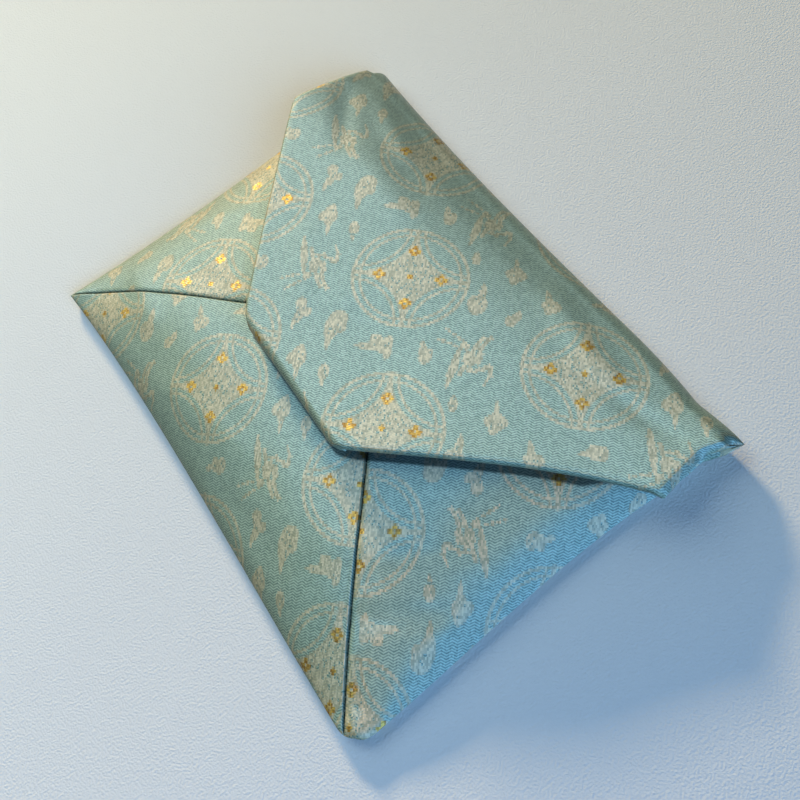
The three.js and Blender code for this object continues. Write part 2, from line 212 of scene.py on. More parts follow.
def drawn_in(x, y):
    """The even grid, drawn in with the sides of the real cloth."""
    across = (x + HALF_WIDTH) / (2 * HALF_WIDTH)
    up = (y + HALF_DEPTH) / (2 * HALF_DEPTH)
    left, right = along_side(SIDES["left"], up), along_side(SIDES["right"], up)
    lower, upper = along_side(SIDES["lower"], across), along_side(SIDES["flap_fold"], across)
    px, py = lerp(left, right, across), lerp(lower, upper, up)
    for (cx, cy), (push_x, push_y), reach in CORNER_PUSHES:
        near = clamp(1 - math.hypot(x - cx, y - cy) / reach) ** 2
        px += push_x * near
        py += push_y * near
    return px, py


def placed(x, y, z):
    return (*drawn_in(x, y), z)


def placed_flap(x, y, z):
    """The flap and what is folded under it reach a little further out than the bag's sides."""
    px, py = drawn_in(x, y)
    side = sign(x)
    above = y - STRIP_END_Y[side]
    if above > 0:
        near = clamp(1 - above / (HALF_DEPTH - STRIP_END_Y[side])) ** OVERHANG_GROWTH[side]
    else:
        near = clamp(1 + above / OVERHANG_FADE)
    return px + side * FLAP_OVERHANG[side] * near * (x / HALF_WIDTH) ** OVERHANG_FLATNESS, py, z


def flap_taper(y, side):
    """Half the flap's width at a height, to its straight slanting edge."""
    return HALF_WIDTH - max(STRIP_END_Y[side] - y, 0) * FLAP_NARROWING[side]


def flap_reach(y, side):
    """The same with its two lower corners rounded off."""
    near_tip = clamp(1 - (y - FLAP_TIP_Y) / TIP_ROUNDING_LENGTH[side])
    return flap_taper(y, side) - TIP_ROUNDING[side] * near_tip ** 2


def flap_top(x, y):
    """Upper face of the flap with its soft folds."""
    return flap_swell(x, y) + soft_folds(FLAP_FOLDS, x, y)


def flap_swell(x, y):
    """Upper face of the flap: smooth along its length, a shallow curve across it."""
    last = len(FLAP_SECTIONS) - 1
    i = 0
    while i < last - 1 and y < FLAP_SECTIONS[i + 1][0]:
        i += 1
    a, b = FLAP_SECTIONS[i], FLAP_SECTIONS[i + 1]
    before, after = FLAP_SECTIONS[max(i - 1, 0)], FLAP_SECTIONS[min(i + 2, last)]
    span = b[0] - a[0]
    t = clamp((y - a[0]) / span)
    at = []
    for k in (1, 2, 3):
        slope_a = (b[k] - before[k]) / (b[0] - before[0])
        slope_b = (after[k] - a[k]) / (after[0] - a[0])
        at.append((2 * t ** 3 - 3 * t ** 2 + 1) * a[k] + (t ** 3 - 2 * t ** 2 + t) * span * slope_a
                  + (3 * t ** 2 - 2 * t ** 3) * b[k] + (t ** 3 - t ** 2) * span * slope_b)
    left, middle, right = at
    across = clamp(x / flap_reach(y, sign(x)), -1, 1)
    return middle + (right - left) / 2 * across + ((right + left) / 2 - middle) * across ** 2


def from_rim(x, y):
    """Distance from the nearest side fold or the lower fold."""
    return min(HALF_WIDTH - abs(x), y + HALF_DEPTH)


def soft_folds(folds, x, y):
    """Soft ridges and troughs laid on one by one, each from one point to another."""
    height = 0.0
    for x0, y0, x1, y1, breadth, rise in folds:
        run_x, run_y = x1 - x0, y1 - y0
        share = ((x - x0) * run_x + (y - y0) * run_y) / (run_x ** 2 + run_y ** 2)
        t = clamp(share)
        off = math.hypot(x - x0 - t * run_x, y - y0 - t * run_y)
        fade = 1 - abs(2 * t - 1) ** 3 if 0 < share < 1 else 0.0
        height += hump(off, rise * fade, breadth)
    return height


def seam_reach(y, side):
    """Distance of a seam from the middle at a height on the front."""
    start, lean, bend, twist = SEAMS[side]
    up = y + HALF_DEPTH
    return start - up * (lean + up * (bend + up * twist))


def seam_trough(x, y):
    """A soft trough along each seam, with a narrow slit where the two folded edges meet."""
    if y > MEETING_Y + TINY:
        return 0.0
    off = (seam_reach(y, sign(x)) - abs(x)) / math.sqrt(2)
    roll = hump(off - SEAM_ROLL_AT, *SEAM_ROLL) if off > 0 else 0.0
    return hump(off, *SEAM_DIP) + hump(off, *SEAM_SLIT) - roll


def front_swell(x, y):
    """Silk face of the front without its seams."""
    swell = (1 - abs(x / HALF_WIDTH) ** CROWN_FLATNESS) * (1 - abs(y / HALF_DEPTH) ** CROWN_FLATNESS)
    free = RIM_HEIGHT + CROWN * max(swell, 0) ** CROWN_ROUND
    inside = clamp(from_rim(x, y) / RIM_ZONE)
    least = lerp(RIM_HEIGHT, HEM_STEP, inside ** RIM_ROUND)
    free += soft_folds(FRONT_FOLDS, x, y) * inside
    if y < COVERED_Y:
        return max(free, least)
    return max(soft_min(free, flap_top(x, y) - HEM_STEP - AIR), least)


def front_top(x, y):
    """Silk face of the front with its seams, which run out just short of the lower fold."""
    return front_swell(x, y) - seam_trough(x, y) * clamp(from_rim(x, y) / SEAM_RUN_OUT)


def back_bottom(x, y):
    """Silk face of the back, flat but for the round of its folds."""
    run = RIM_HEIGHT - min(from_rim(x, y), RIM_HEIGHT)
    return RIM_HEIGHT - math.sqrt(RIM_HEIGHT ** 2 - run ** 2)


def inner_place(x, y):
    """In the rounded band along a fold the inner side draws in faster than the silk side."""
    in_x = max(RIM_ZONE - (HALF_WIDTH - abs(x)), 0) / 2
    in_y = max(RIM_ZONE - (y + HALF_DEPTH), 0) / 2
    return x - sign(x) * in_x, y + in_y


def fold_middle(x):
    """Height of the flap's fold line."""
    return FOLD_RADIUS - CORNER_DROOP * clamp(1 - (HALF_WIDTH - abs(x)) / RIM_ZONE)


def pinch(x):
    """The flap's fold closes towards the two corners at its ends."""
    return math.sqrt(1 - clamp(1 - (HALF_WIDTH - abs(x)) / RIM_ZONE) ** PINCH_ROUND)


def round_off(d):
    """How far the flap's straight end has turned down at a distance inside its fold line."""
    return HEM_RADIUS - math.sqrt(HEM_RADIUS ** 2 - (HEM_RADIUS - d) ** 2) if d < HEM_RADIUS else 0.0


class FoldedCloth:
    """The cloth as points, each with its silk side and its inner side, and triangles by panel."""

    def __init__(self):
        self.named = {}
        self.silk = []
        self.inner = []
        self.spots = []
        self.faces = []

    def point(self, sheet, x, y, silk, inner):
        key = (sheet, round(x, 2), round(y, 2))
        if key not in self.named:
            self.named[key] = len(self.silk)
            self.silk.append(silk)
            self.inner.append(inner)
            self.spots.append((sheet, x, y))
        return self.named[key]

    # Points of each part of the cloth

    def rim(self, x, y):
        """On the fold line of a side fold or the lower fold, which front and back share."""
        ix, iy = inner_place(x, y)
        return self.point("rim", x, y, placed(x, y, RIM_HEIGHT),
                          placed(ix, iy, RIM_HEIGHT - RIM_INNER_DROP))

    def fold_corner(self, x):
        """At an end of the flap's fold, where it runs out in a pointed ear."""
        side, z = sign(x), fold_middle(x)
        return self.point("corner", x, 0, placed(x, HALF_DEPTH, z),
                          placed(x - side * CORNER_INSET[0], HALF_DEPTH - CORNER_INSET[1], z))

    def front(self, x, y):
        """The front, its padding as thick on a slope as on the flat."""
        d = from_rim(x, y)
        if d < TINY:
            return self.rim(x, y)
        ix, iy = inner_place(x, y)
        slope_x = front_swell(x + 0.5, y) - front_swell(x - 0.5, y)
        slope_y = front_swell(x, y + 0.5) - front_swell(x, y - 0.5)
        drop = CLOTH * min(math.hypot(1, slope_x, slope_y), STEEPEST)
        below = max(front_swell(ix, iy) - drop - INNER_GAP, CLOTH + AIR)
        iz = lerp(RIM_HEIGHT - RIM_INNER_DROP, below, clamp(d / RIM_ZONE))
        return self.point("front", x, y, placed(x, y, front_top(x, y)), placed(ix, iy, iz))

    def back(self, x, y):
        d = from_rim(x, y)
        if d < TINY:
            return self.rim(x, y)
        ix, iy = inner_place(x, y)
        iz = lerp(RIM_HEIGHT - RIM_INNER_DROP, CLOTH, clamp(d / RIM_ZONE))
        return self.point("back", x, y, placed(x, y, back_bottom(x, y)), placed(ix, iy, iz))

    def fold(self, x, degrees):
        """Round the flap's fold: -90 on the back, 0 outermost, 90 on the flap."""
        if HALF_WIDTH - abs(x) < TINY:
            return self.fold_corner(x)
        angle = math.radians(degrees)
        middle = fold_middle(x)
        rise = (flap_top(x, FLAP_ROOT_Y) - middle if degrees > 0 else middle) * pinch(x)
        sag = FOLD_SAG * pinch(x) * math.sin(2 * angle) if degrees > 0 else 0.0
        silk = placed(x, FLAP_ROOT_Y + FOLD_RADIUS * math.cos(angle),
                      middle + rise * math.sin(angle) - sag)
        inner = placed(inner_place(x, 0)[0], FLAP_ROOT_Y + (FOLD_RADIUS - CLOTH) * math.cos(angle),
                       middle + max(rise - CLOTH, INNER_GAP) * math.sin(angle))
        return self.point("fold", x, degrees, silk, inner)

    def tuck(self, x):
        """The tight fold inside it, where a side panel turns back under the flap."""
        d = HALF_WIDTH - abs(x)
        if d < TINY:
            return self.fold_corner(x)
        out = clamp(1 - d / RIM_ZONE) ** 2 * TUCK_REACH
        y = FLAP_ROOT_Y + AIR / 2
        return self.point("tuck", x, 0, placed(x, y + out, fold_middle(x)),
                          placed(inner_place(x, 0)[0], y + CLOTH, fold_middle(x)))

    def end_fold(self, x, y):
        """The flap and the layer under it share the fold along the flap's straight ends."""
        z = flap_top(x, y) - HEM_RADIUS
        return self.point("end", x, y, placed_flap(x, y, z),
                          placed_flap(x - sign(x) * END_THICKNESS, y, z))

    def flap(self, x, y):
        """The flap, rounded off along its straight ends."""
        d = HALF_WIDTH - abs(x)
        straight = y >= STRIP_END_Y[sign(x)] - TINY
        if straight and d < TINY:
            return self.end_fold(x, y)
        rounding = round_off(d) if straight else 0.0
        inset = sign(x) * clamp(1 - d / RIM_ZONE) * END_INSET if straight else 0.0
        z = flap_top(x, y)
        return self.point("flap", x, y, placed_flap(x, y, z - rounding),
                          placed_flap(x - inset, y, z - CLOTH))

    def under(self, x, y):
        """The folded corner under the flap: its silk side faces down."""
        d = HALF_WIDTH - abs(x)
        if d < TINY:
            return self.end_fold(x, y)
        z = flap_top(x, y) - HEM_STEP
        inset = sign(x) * clamp(1 - d / RIM_ZONE) * END_INSET
        return self.point("under", x, y, placed_flap(x, y, z + round_off(d)),
                          placed_flap(x - inset, y, z + CLOTH))

    def tip(self, x, degrees):
        """Round the fold of the flap's tip: 90 on the flap, 0 outermost, -90 on the hem."""
        angle = math.radians(degrees)
        middle = flap_top(x, FLAP_TIP_Y) - HEM_RADIUS
        y = FLAP_TIP_Y + HEM_RADIUS
        at = [placed_flap(x, y - r * math.cos(angle), middle + r * math.sin(angle))
              for r in (HEM_RADIUS, HEM_RADIUS - CLOTH)]
        return self.point("tip", x, degrees, *at)

    def hem(self, x, y):
        """The cloth's fourth corner, turned under the flap: its silk side faces down."""
        z = flap_top(x, y) - HEM_STEP
        return self.point("hem", x, y, placed_flap(x, y, z), placed_flap(x, y, z + CLOTH))

    # Rows, and the triangles between them

    def stitch(self, upper, lower, silk_up, panel):
        """Triangles between two neighbouring rows, each a list of (x, point) sorted by x."""
        i = j = 0
        while i < len(upper) - 1 or j < len(lower) - 1:
            next_upper = upper[i + 1][0] if i < len(upper) - 1 else math.inf
            next_lower = lower[j + 1][0] if j < len(lower) - 1 else math.inf
            use_upper = next_upper <= next_lower
            third = upper[i + 1][1] if use_upper else lower[j + 1][1]
            corners = (upper[i][1], lower[j][1], third)
            if len(set(corners)) == 3:
                self.faces.append((*(corners if silk_up else corners[::-1]), panel))
            if use_upper:
                i += 1
            else:
                j += 1

    def join(self, rows, silk_up, panel):
        for upper, lower in zip(rows, rows[1:]):
            self.stitch(upper, lower, silk_up, panel)

    def make_back(self):
        """From the flap's fold down the back to the lower fold."""
        even = columns(-HALF_WIDTH, HALF_WIDTH, RIM_COLUMNS)
        rows = [row(even, lambda x, t=t: self.fold(x, t)) for t in (0, *(-t for t in FOLD_TURNS))]
        rows.append(row(even, lambda x: self.back(x, FLAP_ROOT_Y)))
        for y in reversed(LOWER_ROWS + UPPER_ROWS[:-1]):
            xs = sorted({x for piece in front_pieces(y) for x in piece}) if y == -HALF_DEPTH else even
            rows.append(row(xs, lambda x, y=y: self.back(x, y)))
        self.join(rows, False, "back")

    def make_lower_front(self):
        """The front up to where its seams end, and the lower panel's point above that."""
        rows = [[row(piece, lambda x, y=y: self.front(x, y)) for piece in front_pieces(y)]
                for y in [MEETING_Y] + LOWER_ROWS[::-1]]
        other_seam = SEAM_LINE + len(SEAM_COLUMNS)
        for k in range(len(rows[0])):
            panel = "left" if k < SEAM_LINE else "lower" if k < other_seam else "right"
            self.join([r[k] for r in rows], True, panel)
        base = sorted({x for piece in front_pieces(MEETING_Y) for x in piece
                       if -seam_reach(MEETING_Y, -1) - TINY <= x <= seam_reach(MEETING_Y, 1) + TINY})
        self.join([[(LOWER_TIP[0], self.front(*LOWER_TIP))],
                   row(base, lambda x: self.front(x, MEETING_Y))], True, "lower")

    def make_side_panel(self, side):
        """One side panel above the seams, and its corner turned back under the flap."""
        meeting_x = seam_reach(MEETING_Y, side)
        straight = HALF_DEPTH - STRIP_END_Y[side]

        def span(edge):
            a, b = (-HALF_WIDTH, -edge) if side < 0 else (edge, HALF_WIDTH)
            return columns(a, b, RIM_COLUMNS)

        base = sorted({x for piece in front_pieces(MEETING_Y) for x in piece
                       if side * x >= meeting_x - TINY})
        front = [row(base, lambda x: self.front(x, MEETING_Y))]
        for y in UPPER_ROWS[1:]:
            up = (y - MEETING_Y) / (FLAP_ROOT_Y - MEETING_Y)
            edge = lerp(meeting_x, CORNER_END_X - FOLD_RADIUS, up)
            front.insert(0, row(span(edge), lambda x, y=y: self.front(x, y)))
        tuck = row(span(CORNER_END_X), self.tuck)
        self.join([tuck] + front, True, "left" if side < 0 else "right")
        under = []
        for y in STRIP_ROWS:
            if y > STRIP_END_Y[side] + TINY:
                edge = lerp(CORNER_END_X, HALF_WIDTH, (HALF_DEPTH - y) / straight)
                under.append(row(span(edge), lambda x, y=y: self.under(x, y)))
        under.append([(side * HALF_WIDTH, self.end_fold(side * HALF_WIDTH, STRIP_END_Y[side]))])
        self.join([tuck] + under, False, "under")

    def make_flap(self):
        """Over the fold, down the flap, round its tip and back up under it."""
        even = columns(-HALF_WIDTH, HALF_WIDTH, RIM_COLUMNS)
        rows = [row(even, lambda x, t=t: self.fold(x, t)) for t in (0, *FOLD_TURNS)]
        turned = EDGE_BULGE * math.sqrt(2)

        def span(reach, y):
            return columns(turned - reach(y, -1), reach(y, 1) - turned)

        for y in STRIP_ROWS:
            right = HALF_WIDTH if y > STRIP_END_Y[1] - TINY else flap_reach(y, 1) - turned
            rows.append(row(columns(-HALF_WIDTH, right, RIM_COLUMNS), lambda x, y=y: self.flap(x, y)))
        for y in TAPER_ROWS[:-1]:
            rows.append(row(span(flap_reach, y), lambda x, y=y: self.flap(x, y)))
        for degrees in TIP_TURNS:
            y = FLAP_TIP_Y + HEM_RADIUS - HEM_RADIUS * math.cos(math.radians(degrees))
            rows.append(row(span(flap_reach, y), lambda x, t=degrees: self.tip(x, t)))
        self.join(rows, True, "flap")
        hem = [row(span(flap_taper, 2 * FLAP_TIP_Y - y), lambda x, y=y: self.hem(x, y))
               for y in HEM_ROWS[1:]]
        self.join([rows[-1]] + hem + [[(HEM_TIP_X, self.hem(HEM_TIP_X, HEM_TOP_Y))]], True, "flap")


def columns(start, end, extras=()):
    """Even columns between two ends, with extra ones where a fold needs them."""
    wanted = [start, end] + [x for x in extras if start + LEAST_STEP < x < end - LEAST_STEP]
    for i in range(-int(HALF_WIDTH / STEP), int(HALF_WIDTH / STEP) + 1):
        x = i * STEP
        if start < x < end and all(abs(other - x) > STEP * CLOSEST for other in wanted):
            wanted.append(x)
    return sorted(wanted)


def row(xs, make):
    """Points of one row, each with its place along it."""
    return [(x, make(x)) for x in xs]


def front_pieces(y):
    """A row of the front in pieces that end at the seams and along both of their banks."""
    root = math.sqrt(2)
    left, right = -seam_reach(y, -1), seam_reach(y, 1)
    middle = (left + right) / 2
    ends = [-HALF_WIDTH, *(min(left + s * root, middle) for s in SEAM_COLUMNS),
            *(max(right + s * root, middle) for s in SEAM_COLUMNS), HALF_WIDTH]
    ends = [clamp(x, -HALF_WIDTH, HALF_WIDTH) for x in ends]
    return [[a] if b - a < TINY else columns(a, b, RIM_COLUMNS) for a, b in zip(ends, ends[1:])]


# ---------------------------------------------------------------------------------------------
# Where the weave lies on each panel. The cloth is smoothed out flat first, and the repeat is
# then laid on it: the middle of one roundel, and the directions and lengths of one unit.
# ---------------------------------------------------------------------------------------------
FLAP_MIDDLE_Y = 24.0
WEAVE = {
    # panel: roundel at x, y; its column; weft at degrees, mm a unit; warp the same; turned round
    "flap": ((-5.3, 23.8), 0, (44.5, 18.21), (136.5, 17.91), 1),
    "left": ((-51.5, -24.95), 0, (39.5, 18.55), (129.5, 18.26), -1),
    "lower": ((-18.3, -41.95), 1, (43.5, 17.79), (135.0, 18.11), 1),
    "right": ((47.9, -31.15), 0, (51.0, 18.06), (139.6, 18.26), -1),
}


class SmoothedOut:
    """Lengths along a curved face from its middle, so that a weave isn't stretched on its slopes."""

    def __init__(self, place, ys, middle_y):
        self.xs = np.array(evenly(-HALF_WIDTH, HALF_WIDTH))
        self.ys = np.array(ys)
        grid = np.array([[place(x, y) for x in self.xs] for y in self.ys])
        mx, my = int(np.abs(self.xs).argmin()), int(np.abs(self.ys - middle_y).argmin())
        self.across = self._lengths(grid, 1, mx) + grid[:, mx:mx + 1, 0]
        self.up = self._lengths(grid, 0, my) + grid[my:my + 1, :, 1]

    @staticmethod
    def _lengths(grid, axis, start):
        steps = np.linalg.norm(np.diff(grid, axis=axis), axis=2)
        total = np.concatenate([np.zeros_like(np.take(steps, [0], axis)), np.cumsum(steps, axis)], axis)
        return total - np.take(total, [start], axis)

    def __call__(self, x, y):
        u = np.clip(np.interp(x, self.xs, np.arange(len(self.xs))), 0, len(self.xs) - 1.001)
        v = np.clip(np.interp(y, self.ys, np.arange(len(self.ys))), 0, len(self.ys) - 1.001)
        i, j, s, t = int(u), int(v), u % 1, v % 1
        out = []
        for table in (self.across, self.up):
            low = lerp(table[j, i], table[j, i + 1], s)
            out.append(lerp(low, lerp(table[j + 1, i], table[j + 1, i + 1], s), t))
        return out


def fold_arc(d, radius):
    """Length round one half of a fold, from its fold line to a distance inside it."""
    return radius * math.acos(1 - clamp(d / radius)) + max(d - radius, 0)


class WeavePlacer:
    """Gives each point of each panel its place in the cloth's repeat."""

    def __init__(self):
        self.front = SmoothedOut(lambda x, y: placed(x, y, front_swell(x, y)),
                                 evenly(-HALF_DEPTH, HALF_DEPTH), 0)
        self.flap = SmoothedOut(lambda x, y: placed_flap(x, y, flap_top(x, y)),
                                evenly(FLAP_TIP_Y, FLAP_ROOT_Y), FLAP_MIDDLE_Y)
        self.known = {}

    def at(self, panel, spot, shift=(0.0, 0.0)):
        """The place in the repeat of a spot on a panel, or of a point a little way off it."""
        if (panel, spot) not in self.known:
            self.known[panel, spot] = self.flat(panel, spot)
        across, up = self.known[panel, spot]
        return self.weave(panel, across + shift[0], up + shift[1])

    def flat(self, panel, spot):
        """The point's place in the smoothed cloth of a panel, in millimetres."""
        if panel in ("left", "right", "lower"):
            return self.on_front(panel, *spot)
        return self.on_flap(*spot)

    def on_front(self, panel, sheet, x, y):
        """On a front panel, and round the fold from it to the edge of the back."""
        if sheet in ("tuck", "corner"):
            return self.front(x, FLAP_ROOT_Y)
        if sheet != "back":
            return self.front(x, y)
        if panel == "lower":
            across, up = self.front(x, -HALF_DEPTH)
            return across, up - fold_arc(y + HALF_DEPTH, RIM_HEIGHT)
        side = sign(x)
        across, up = self.front(side * HALF_WIDTH, y)
        return across + side * fold_arc(HALF_WIDTH - abs(x), RIM_HEIGHT), up

    def on_flap(self, sheet, x, y):
        """On the flap, and on what runs on from it: its hem, the layers under it and the back."""
        side = sign(x)
        if sheet == "tuck":
            across, up = self.flap(side * HALF_WIDTH, FLAP_ROOT_Y)
            return across + side * (HALF_WIDTH - abs(x)), up
        if sheet in ("corner", "fold", "back", "rim"):
            across, up = self.flap(x, FLAP_ROOT_Y)
            run = {"corner": FOLD_RADIUS * math.pi / 2, "fold": FOLD_RADIUS * math.radians(90 - y)}
            return across, up + run.get(sheet, FOLD_RADIUS * math.pi + FLAP_ROOT_Y - y)
        if sheet == "tip":
            across, up = self.flap(x, FLAP_TIP_Y + HEM_RADIUS)
            return across, up - HEM_RADIUS * math.radians(90 - y)
        if sheet == "hem":
            across, up = self.flap(x, FLAP_TIP_Y)
            return across, up - HEM_RADIUS - (y - FLAP_TIP_Y)
        d = HALF_WIDTH - abs(x)
        straight = sheet in ("flap", "end", "under") and y >= STRIP_END_Y[side] - TINY
        if not straight or (d >= HEM_RADIUS and sheet != "under"):
            return self.flap(x, y)
        across, up = self.flap(side * (HALF_WIDTH - HEM_RADIUS), y)
        turn = fold_arc(d, HEM_RADIUS)
        if sheet != "under":
            turn = -turn
        return across + side * (HEM_RADIUS * math.pi / 2 + turn), up

    def weave(self, panel, across, up):
        """From the smoothed cloth to units of the repeat: along the weft, along the warp."""
        name = panel if panel in WEAVE else "flap"
        (ox, oy), column, (weft, weft_unit), (warp, warp_unit), turned = WEAVE[name]
        axes = [[weft_unit * math.cos(math.radians(weft)), warp_unit * math.cos(math.radians(warp))],
                [weft_unit * math.sin(math.radians(weft)), warp_unit * math.sin(math.radians(warp))]]
        a, b = np.linalg.solve(axes, [across - ox, up - oy])
        return turned * a + column * COLUMN_STEP, turned * b + column * ROW_STEP


def panel_of(made_as, spots):
    """The rounded underside of a side fold still belongs to the front panel that wraps it."""
    if made_as != "back":
        return made_as
    x = sum(s[1] for s in spots) / len(spots)
    y = sum(s[2] for s in spots) / len(spots)
    if any(s[0] in ("fold", "corner") for s in spots):
        return "back"
    side_d, lower_d = HALF_WIDTH - abs(x), y + HALF_DEPTH
    if min(side_d, lower_d) > RIM_HEIGHT:
        return "back"
    if lower_d < side_d:
        return "lower"
    return "left" if x < 0 else "right"


def free_edges(faces):
    """Directed edges that only one triangle uses, with that triangle's panel."""
    used = {}
    for a, b, c, panel in faces:
        used.update({(a, b): panel, (b, c): panel, (c, a): panel})
    return [(a, b, panel) for (a, b), panel in used.items() if (b, a) not in used]


def unit(v):
    return v / max(np.linalg.norm(v), 1e-9)


def edge_walls(cloth, edges):
    """Rounds the cloth's free edges: which way each of their points faces, and the ring of
    points that leads round the edge from its silk side to its inner side."""
    silk, inner = np.array(cloth.silk), np.array(cloth.inner)
    outward = {}
    for a, b, _ in edges:
        along = silk[b] - silk[a]
        through = (silk[a] + silk[b] - inner[a] - inner[b]) / 2
        out = np.cross(along, through)
        for i in (a, b):
            outward[i] = outward.get(i, 0) + unit(out)
    turns = [math.radians(d) for d in EDGE_TURNS]
    rings = {}
    for i, out in outward.items():
        out = unit(out)
        middle, half = (silk[i] + inner[i]) / 2, (silk[i] - inner[i]) / 2
        rings[i] = (out, [middle + half * math.cos(t) + out * EDGE_BULGE * math.sin(t) for t in turns])
    return rings, turns


# The shadow painted on the front along the flap's free edge is laid by distance from that edge
FLAP_EDGE_STEP = 2.0
FAR_OFF = 100.0
LEFT_LIFT = 0.9
RIGHT_LIFT = 0.4            # for each millimetre past the height where it starts
RIGHT_LIFT_Y = 24.0


def flap_outline():
    """The flap's free edge seen from above, from its left end round the tip to its right end."""
    edge = []
    for side in (-1, 1):
        ys = evenly(FLAP_TIP_Y, FLAP_ROOT_Y, FLAP_EDGE_STEP)
        run = [placed_flap(side * flap_reach(y, side), y, 0)[:2] for y in ys]
        edge += run[::-1] if side < 0 else run
    return np.array(edge)


def beyond_flap(cloth, count):
    """How far each point of the front lies outside the flap's free edge, in millimetres.

    Where the flap lifts off the front, at its left edge and its right corner, more is added."""
    # far sets the painted shadow on the front: dark inside the flap's edge, gone a millimetre beyond it
    far = np.full(count, FAR_OFF)
    edge = flap_outline()
    start, along = edge[:-1], np.diff(edge, axis=0)
    tip = len(edge) // 2 - 1
    for i, (sheet, x, y) in enumerate(cloth.spots):
        if sheet != "front":
            continue
        off = np.array(cloth.silk[i][:2]) - start
        t = np.clip((off * along).sum(1) / (along ** 2).sum(1), 0, 1)
        away = off - along * t[:, None]
        nearest = int(np.argmin(np.hypot(*away.T)))
        turn = along[nearest][0] * away[nearest][1] - along[nearest][1] * away[nearest][0]
        lifted = LEFT_LIFT if nearest < tip else max(y - RIGHT_LIFT_Y, 0) * RIGHT_LIFT
        far[i] = math.hypot(*away[nearest]) * (1 if turn < 0 else -1) + lifted
    return far


SILK_SIDE, INNER_SIDE = 0, 1          # slots of the cloth's two materials


def build_cloth_mesh(name):
    """The whole cloth as one closed mesh, with its weave in a UV map."""
    cloth = FoldedCloth()
    cloth.make_back()
    cloth.make_lower_front()
    cloth.make_side_panel(-1)
    cloth.make_side_panel(1)
    cloth.make_flap()
    placer = WeavePlacer()

    count = len(cloth.silk)
    points = cloth.silk + cloth.inner
    faces, finish, weave = [], [], []
    for a, b, c, made_as in cloth.faces:
        spots = [cloth.spots[i] for i in (a, b, c)]
        panel = panel_of(made_as, spots)
        places = [placer.at(panel, spot) for spot in spots]
        faces += [(a, b, c), (c + count, b + count, a + count)]
        weave += [places, places[::-1]]
        finish += [SILK_SIDE, INNER_SIDE]

    edges = free_edges(cloth.faces)
    rings, turns = edge_walls(cloth, edges)
    ring_at = {}
    for i, (_, ring) in rings.items():
        ring_at[i] = [i, *range(len(points), len(points) + len(ring)), i + count]
        points += [tuple(p) for p in ring]
    reach = [EDGE_ROUND * t for t in (0.0, *turns, math.pi)]
    for a, b, panel in edges:
        for k in range(len(turns) + 1):
            quad = [(b, k), (a, k), (a, k + 1), (b, k + 1)]
            faces.append(tuple(ring_at[i][level] for i, level in quad))
            weave.append([placer.at(panel, cloth.spots[i], rings[i][0][:2] * reach[level])
                          for i, level in quad])
            finish.append(SILK_SIDE)

    mesh = bpy.data.meshes.new(name)
    mesh.from_pydata([tuple(v * MM for v in p) for p in points], [], faces)
    layer = mesh.uv_layers.new(name="weave")
    layer.data.foreach_set("uv", np.array([place for face in weave for place in face]).ravel())
    # distance from the flap's edge, which the silk material turns into a painted shadow
    painted_flap_shadow = mesh.attributes.new("beyond_flap", "FLOAT", "POINT")
    painted_flap_shadow.data.foreach_set("value", beyond_flap(cloth, len(points)))
    mesh.polygons.foreach_set("material_index", finish)
    mesh.polygons.foreach_set("use_smooth", [True] * len(faces))
    mesh.validate()
    mesh.update()
    return mesh


# ---------------------------------------------------------------------------------------------
# Node trees, written as sums: a Wire is a value in a tree that can be reckoned with
# ---------------------------------------------------------------------------------------------
class Wire:
    def __init__(self, tree, socket):
        self.tree = tree
        self.socket = socket

    def math(self, operation, *others):
        node = self.tree.nodes.new("ShaderNodeMath")
        node.operation = operation
        for socket, value in zip(node.inputs, (self, *others)):
            plug(self.tree, value, socket)
        return Wire(self.tree, node.outputs[0])

    def __add__(self, other):
        return self.math("ADD", other)

    def __sub__(self, other):
        return self.math("SUBTRACT", other)

    def __mul__(self, other):
        return self.math("MULTIPLY", other)

    def __truediv__(self, other):
        return self.math("DIVIDE", other)

    __radd__ = __add__
    __rmul__ = __mul__

    def __rsub__(self, other):
        return number(self.tree, other).math("SUBTRACT", self)

    def __abs__(self):
        return self.math("ABSOLUTE")

    def wrapped(self, low, high):
        return self.math("WRAP", high, low)

    def ramp(self, none_at, full_at):
        """0 at the first value and 1 at the second, with a smooth step between them."""
        node = self.tree.nodes.new("ShaderNodeMapRange")
        node.interpolation_type = "SMOOTHSTEP"
        rising = none_at < full_at
        bounds = (none_at, full_at, 0.0, 1.0) if rising else (full_at, none_at, 1.0, 0.0)
        for socket, value in zip(node.inputs, (self, *bounds)):
            plug(self.tree, value, socket)
        return Wire(self.tree, node.outputs[0])

    def above(self, edge, soft):
        return self.ramp(edge - soft, edge + soft)

    def below(self, edge, soft):
        return self.ramp(edge + soft, edge - soft)


def plug(tree, value, socket):
    if isinstance(value, Wire):
        tree.links.new(value.socket, socket)
    else:
        socket.default_value = value


def number(tree, value):
    node = tree.nodes.new("ShaderNodeValue")
    node.outputs[0].default_value = value
    return Wire(tree, node.outputs[0])


def vector_math(operation, a, b=None, c=None, scale=None, value=False):
    tree = a.tree
    node = tree.nodes.new("ShaderNodeVectorMath")
    node.operation = operation
    for socket, item in zip(node.inputs, (a, b, c)):
        if item is not None:
            plug(tree, item, socket)
    if scale is not None:
        plug(tree, scale, node.inputs["Scale"])
    return Wire(tree, node.outputs["Value" if value else "Vector"])


def parts(vector):
    node = vector.tree.nodes.new("ShaderNodeSeparateXYZ")
    plug(vector.tree, vector, node.inputs[0])
    return [Wire(vector.tree, s) for s in node.outputs]


def joined(x, y):
    node = x.tree.nodes.new("ShaderNodeCombineXYZ")
    for socket, value in zip(node.inputs, (x, y)):
        plug(x.tree, value, socket)
    return Wire(x.tree, node.outputs[0])


def wave(value, turns):
    """A sine between 0 and 1."""
    return (value * turns).math("SINE").math("MULTIPLY_ADD", 0.5, 0.5)


def length(x, y):
    return vector_math("LENGTH", joined(x, y), value=True)


def biggest(a, b):
    return a.math("MAXIMUM", b)


def smallest(a, b):
    return a.math("MINIMUM", b)


